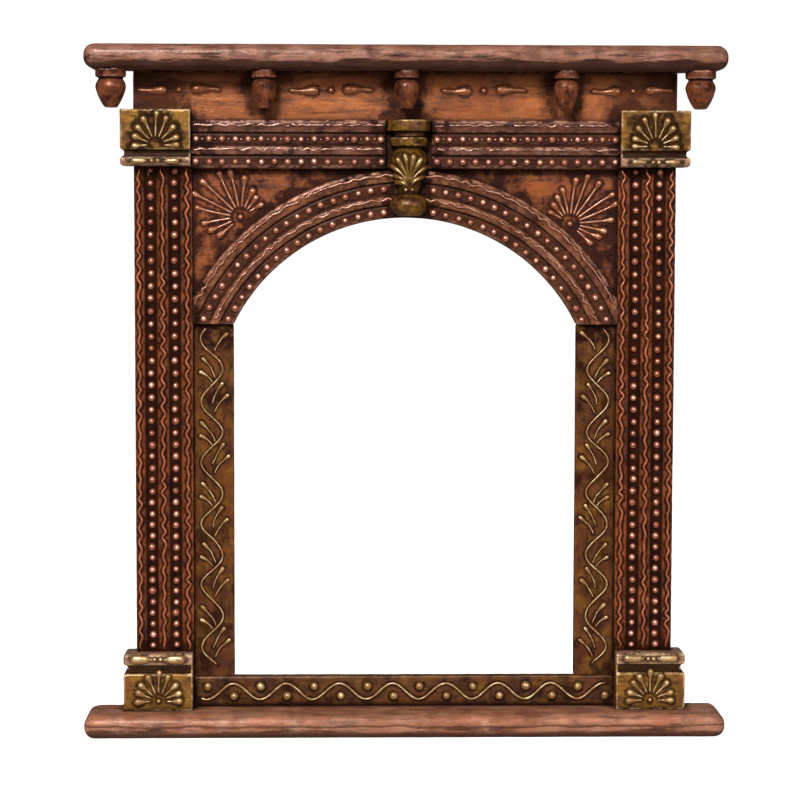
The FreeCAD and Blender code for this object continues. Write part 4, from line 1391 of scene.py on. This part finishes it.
def build_wood():
    weathered("base_board", "base", "copper_paint", 1.3, seed=1.0, chips=0.6,
              beside=("left_plinth", "right_plinth", "bottom_rail"))
    weathered("top_shelf", "shelf", "copper_paint", 1.3, seed=2.0, chips=0.6)
    weathered("frieze_board", "frieze", "orange_copper_paint", 0.9, seed=3.0, rounds=1,
              let_out=0.3, lift=7.0,
              beside=("left_capital", "right_capital", "keystone_turning") + DROPS[1:4])
    weathered("bottom_rail", "rail", "gold_paint", 0.9, seed=4.0, beside=("base_board",))
    for side, sign in SIDES.items():
        seed = 5.0 + sign
        weathered(f"{side}_post", "post", "dark_copper_paint", 0.85, seed, depth=FLUTE_SINK,
                  beside=(f"{side}_capital", f"{side}_plinth"))
        weathered(f"{side}_stile", "stile", "gold_paint", 0.9, seed + 3,
                  beside=(f"{side}_arch_moulding",))
        weathered(f"{side}_spandrel", "spandrel", "orange_copper_paint", 0.8, seed + 6, rounds=1,
                  let_out=0.3,
                  beside=(f"{side}_arch_moulding", f"{side}_architrave", f"{side}_post"))
        weathered(f"{side}_capital", "block", "gold_paint", 0.6, seed + 9, depth=2.5,
                  roll=(-1, 8.5))
        weathered(f"{side}_plinth", "plinth", "gold_paint", 0.6, seed + 12, depth=2.5,
                  roll=(29, 50))
        arch_moulding(side)
        architrave(side)
    mouldings = [f"{side}_{kind}" for kind in ("architrave", "arch_moulding") for side in SIDES]
    weathered("keystone_turning", "turning", "gold_paint", 0.5, seed=31.0, rounds=13, chips=0.2,
              beside=mouldings)
    for number, drop in enumerate(DROPS):
        weathered(drop, "drop", "copper_paint", 0.5, seed=40.0 + number, rounds=14, chips=0.2)


def build_relief():
    for side in SIDES:
        post_relief(side)
        architrave_relief(side)
        arch_relief(side)
        spandrel_fan(side)
        block_fan(side, "capital")
        block_fan(side, "plinth")
        stile_vine(side)
    frieze_relief()
    rail_relief()
    keystone_leaves()


def finish_hidden_pieces():
    finishes = {
        "dowel": ("base_dowels", "shelf_dowels", "frieze_dowels", "lining_dowels", "keystone_dowels"),
        "brass": ("left_hanger_plate", "right_hanger_plate"),
        "zinc": ("hanger_screws",),
    }
    for paint, nodes in finishes.items():
        for node in nodes:
            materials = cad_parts[node].data.materials
            materials.clear()
            materials.append(PAINTS[paint])


# ---------------------------------------------------------------- studio


def studio_floor():
    """A pale table top under the object."""
    left, right = -1.2, 1.2
    front, back = -0.32, 3.4
    work = bmesh.new()
    corners = [(left, front), (right, front), (right, back), (left, back)]
    work.faces.new([work.verts.new((x, y, 0)) for x, y in corners])
    mesh = bpy.data.meshes.new("studio_floor")
    work.to_mesh(mesh)
    work.free()
    floor = bpy.data.objects.new("studio_floor", mesh)
    bpy.context.scene.collection.objects.link(floor)
    material, nodes, shader, _ = finish_nodes("pale_floor")
    nodes.feed_all(shader, {
        "Base Color": (0.9, 0.9, 0.9, 1),
        "Roughness": 0.9,
        "Emission Color": (1, 1, 1, 1),
        "Emission Strength": 0.95,
    })
    mesh.materials.append(material)
    floor.visible_glossy = False


def area_light(name, place, size, power):
    """A square lamp aimed a little above the middle of the object."""
    light = bpy.data.lights.new(name, "AREA")
    light.size = size
    light.energy = power
    lamp = bpy.data.objects.new(name, light)
    lamp.location = place
    aim = Vector((0, 0, 0.25)) - Vector(place)
    lamp.rotation_euler = aim.to_track_quat("-Z", "Y").to_euler()
    bpy.context.scene.collection.objects.link(lamp)


def studio_lights():
    """A weak white surround that looks bright behind the object, a key lamp and a fill."""
    surround = 0.12
    backdrop = 1.05
    world = bpy.data.worlds.new("studio")
    world.use_nodes = True
    nodes = Nodes(world.node_tree)
    seen = nodes.add("ShaderNodeLightPath").outputs["Is Camera Ray"]
    nodes.feed_all(world.node_tree.nodes["Background"], {
        "Color": (1, 1, 1, 1),
        "Strength": nodes.between(seen, 0.0, 1.0, surround, backdrop),
    })
    bpy.context.scene.world = world
    area_light("key", (-0.5, -1.6, 1.4), 0.5, 46)
    area_light("fill", (1.1, -1.5, 0.8), 0.6, 9)


def camera():
    """The viewing position: almost square on, a little above the middle and to the left."""
    place = Vector((-0.04446, -1.57588, 0.34731))
    yaw = math.radians(1.4818)
    pitch = math.radians(4.4527)
    roll = math.radians(-0.1307)
    data = bpy.data.cameras.new("view")
    data.lens = 107.0
    data.sensor_width = 36
    lens = bpy.data.objects.new("view", data)
    across = math.cos(pitch)
    forward = Vector((math.sin(yaw) * across, math.cos(yaw) * across, -math.sin(pitch)))
    level = Vector((math.cos(yaw), -math.sin(yaw), 0))
    down = forward.cross(level)
    right = level * math.cos(roll) + down * math.sin(roll)
    down = down * math.cos(roll) - level * math.sin(roll)
    turn = Matrix((right, -down, -forward)).transposed()
    lens.matrix_world = Matrix.Translation(place) @ turn.to_4x4()
    bpy.context.scene.collection.objects.link(lens)
    bpy.context.scene.camera = lens


build_relief()
build_wood()
finish_hidden_pieces()
studio_floor()
studio_lights()
camera()
bpy.context.scene.view_settings.view_transform = "Standard"

bpy.context.view_layer.update()
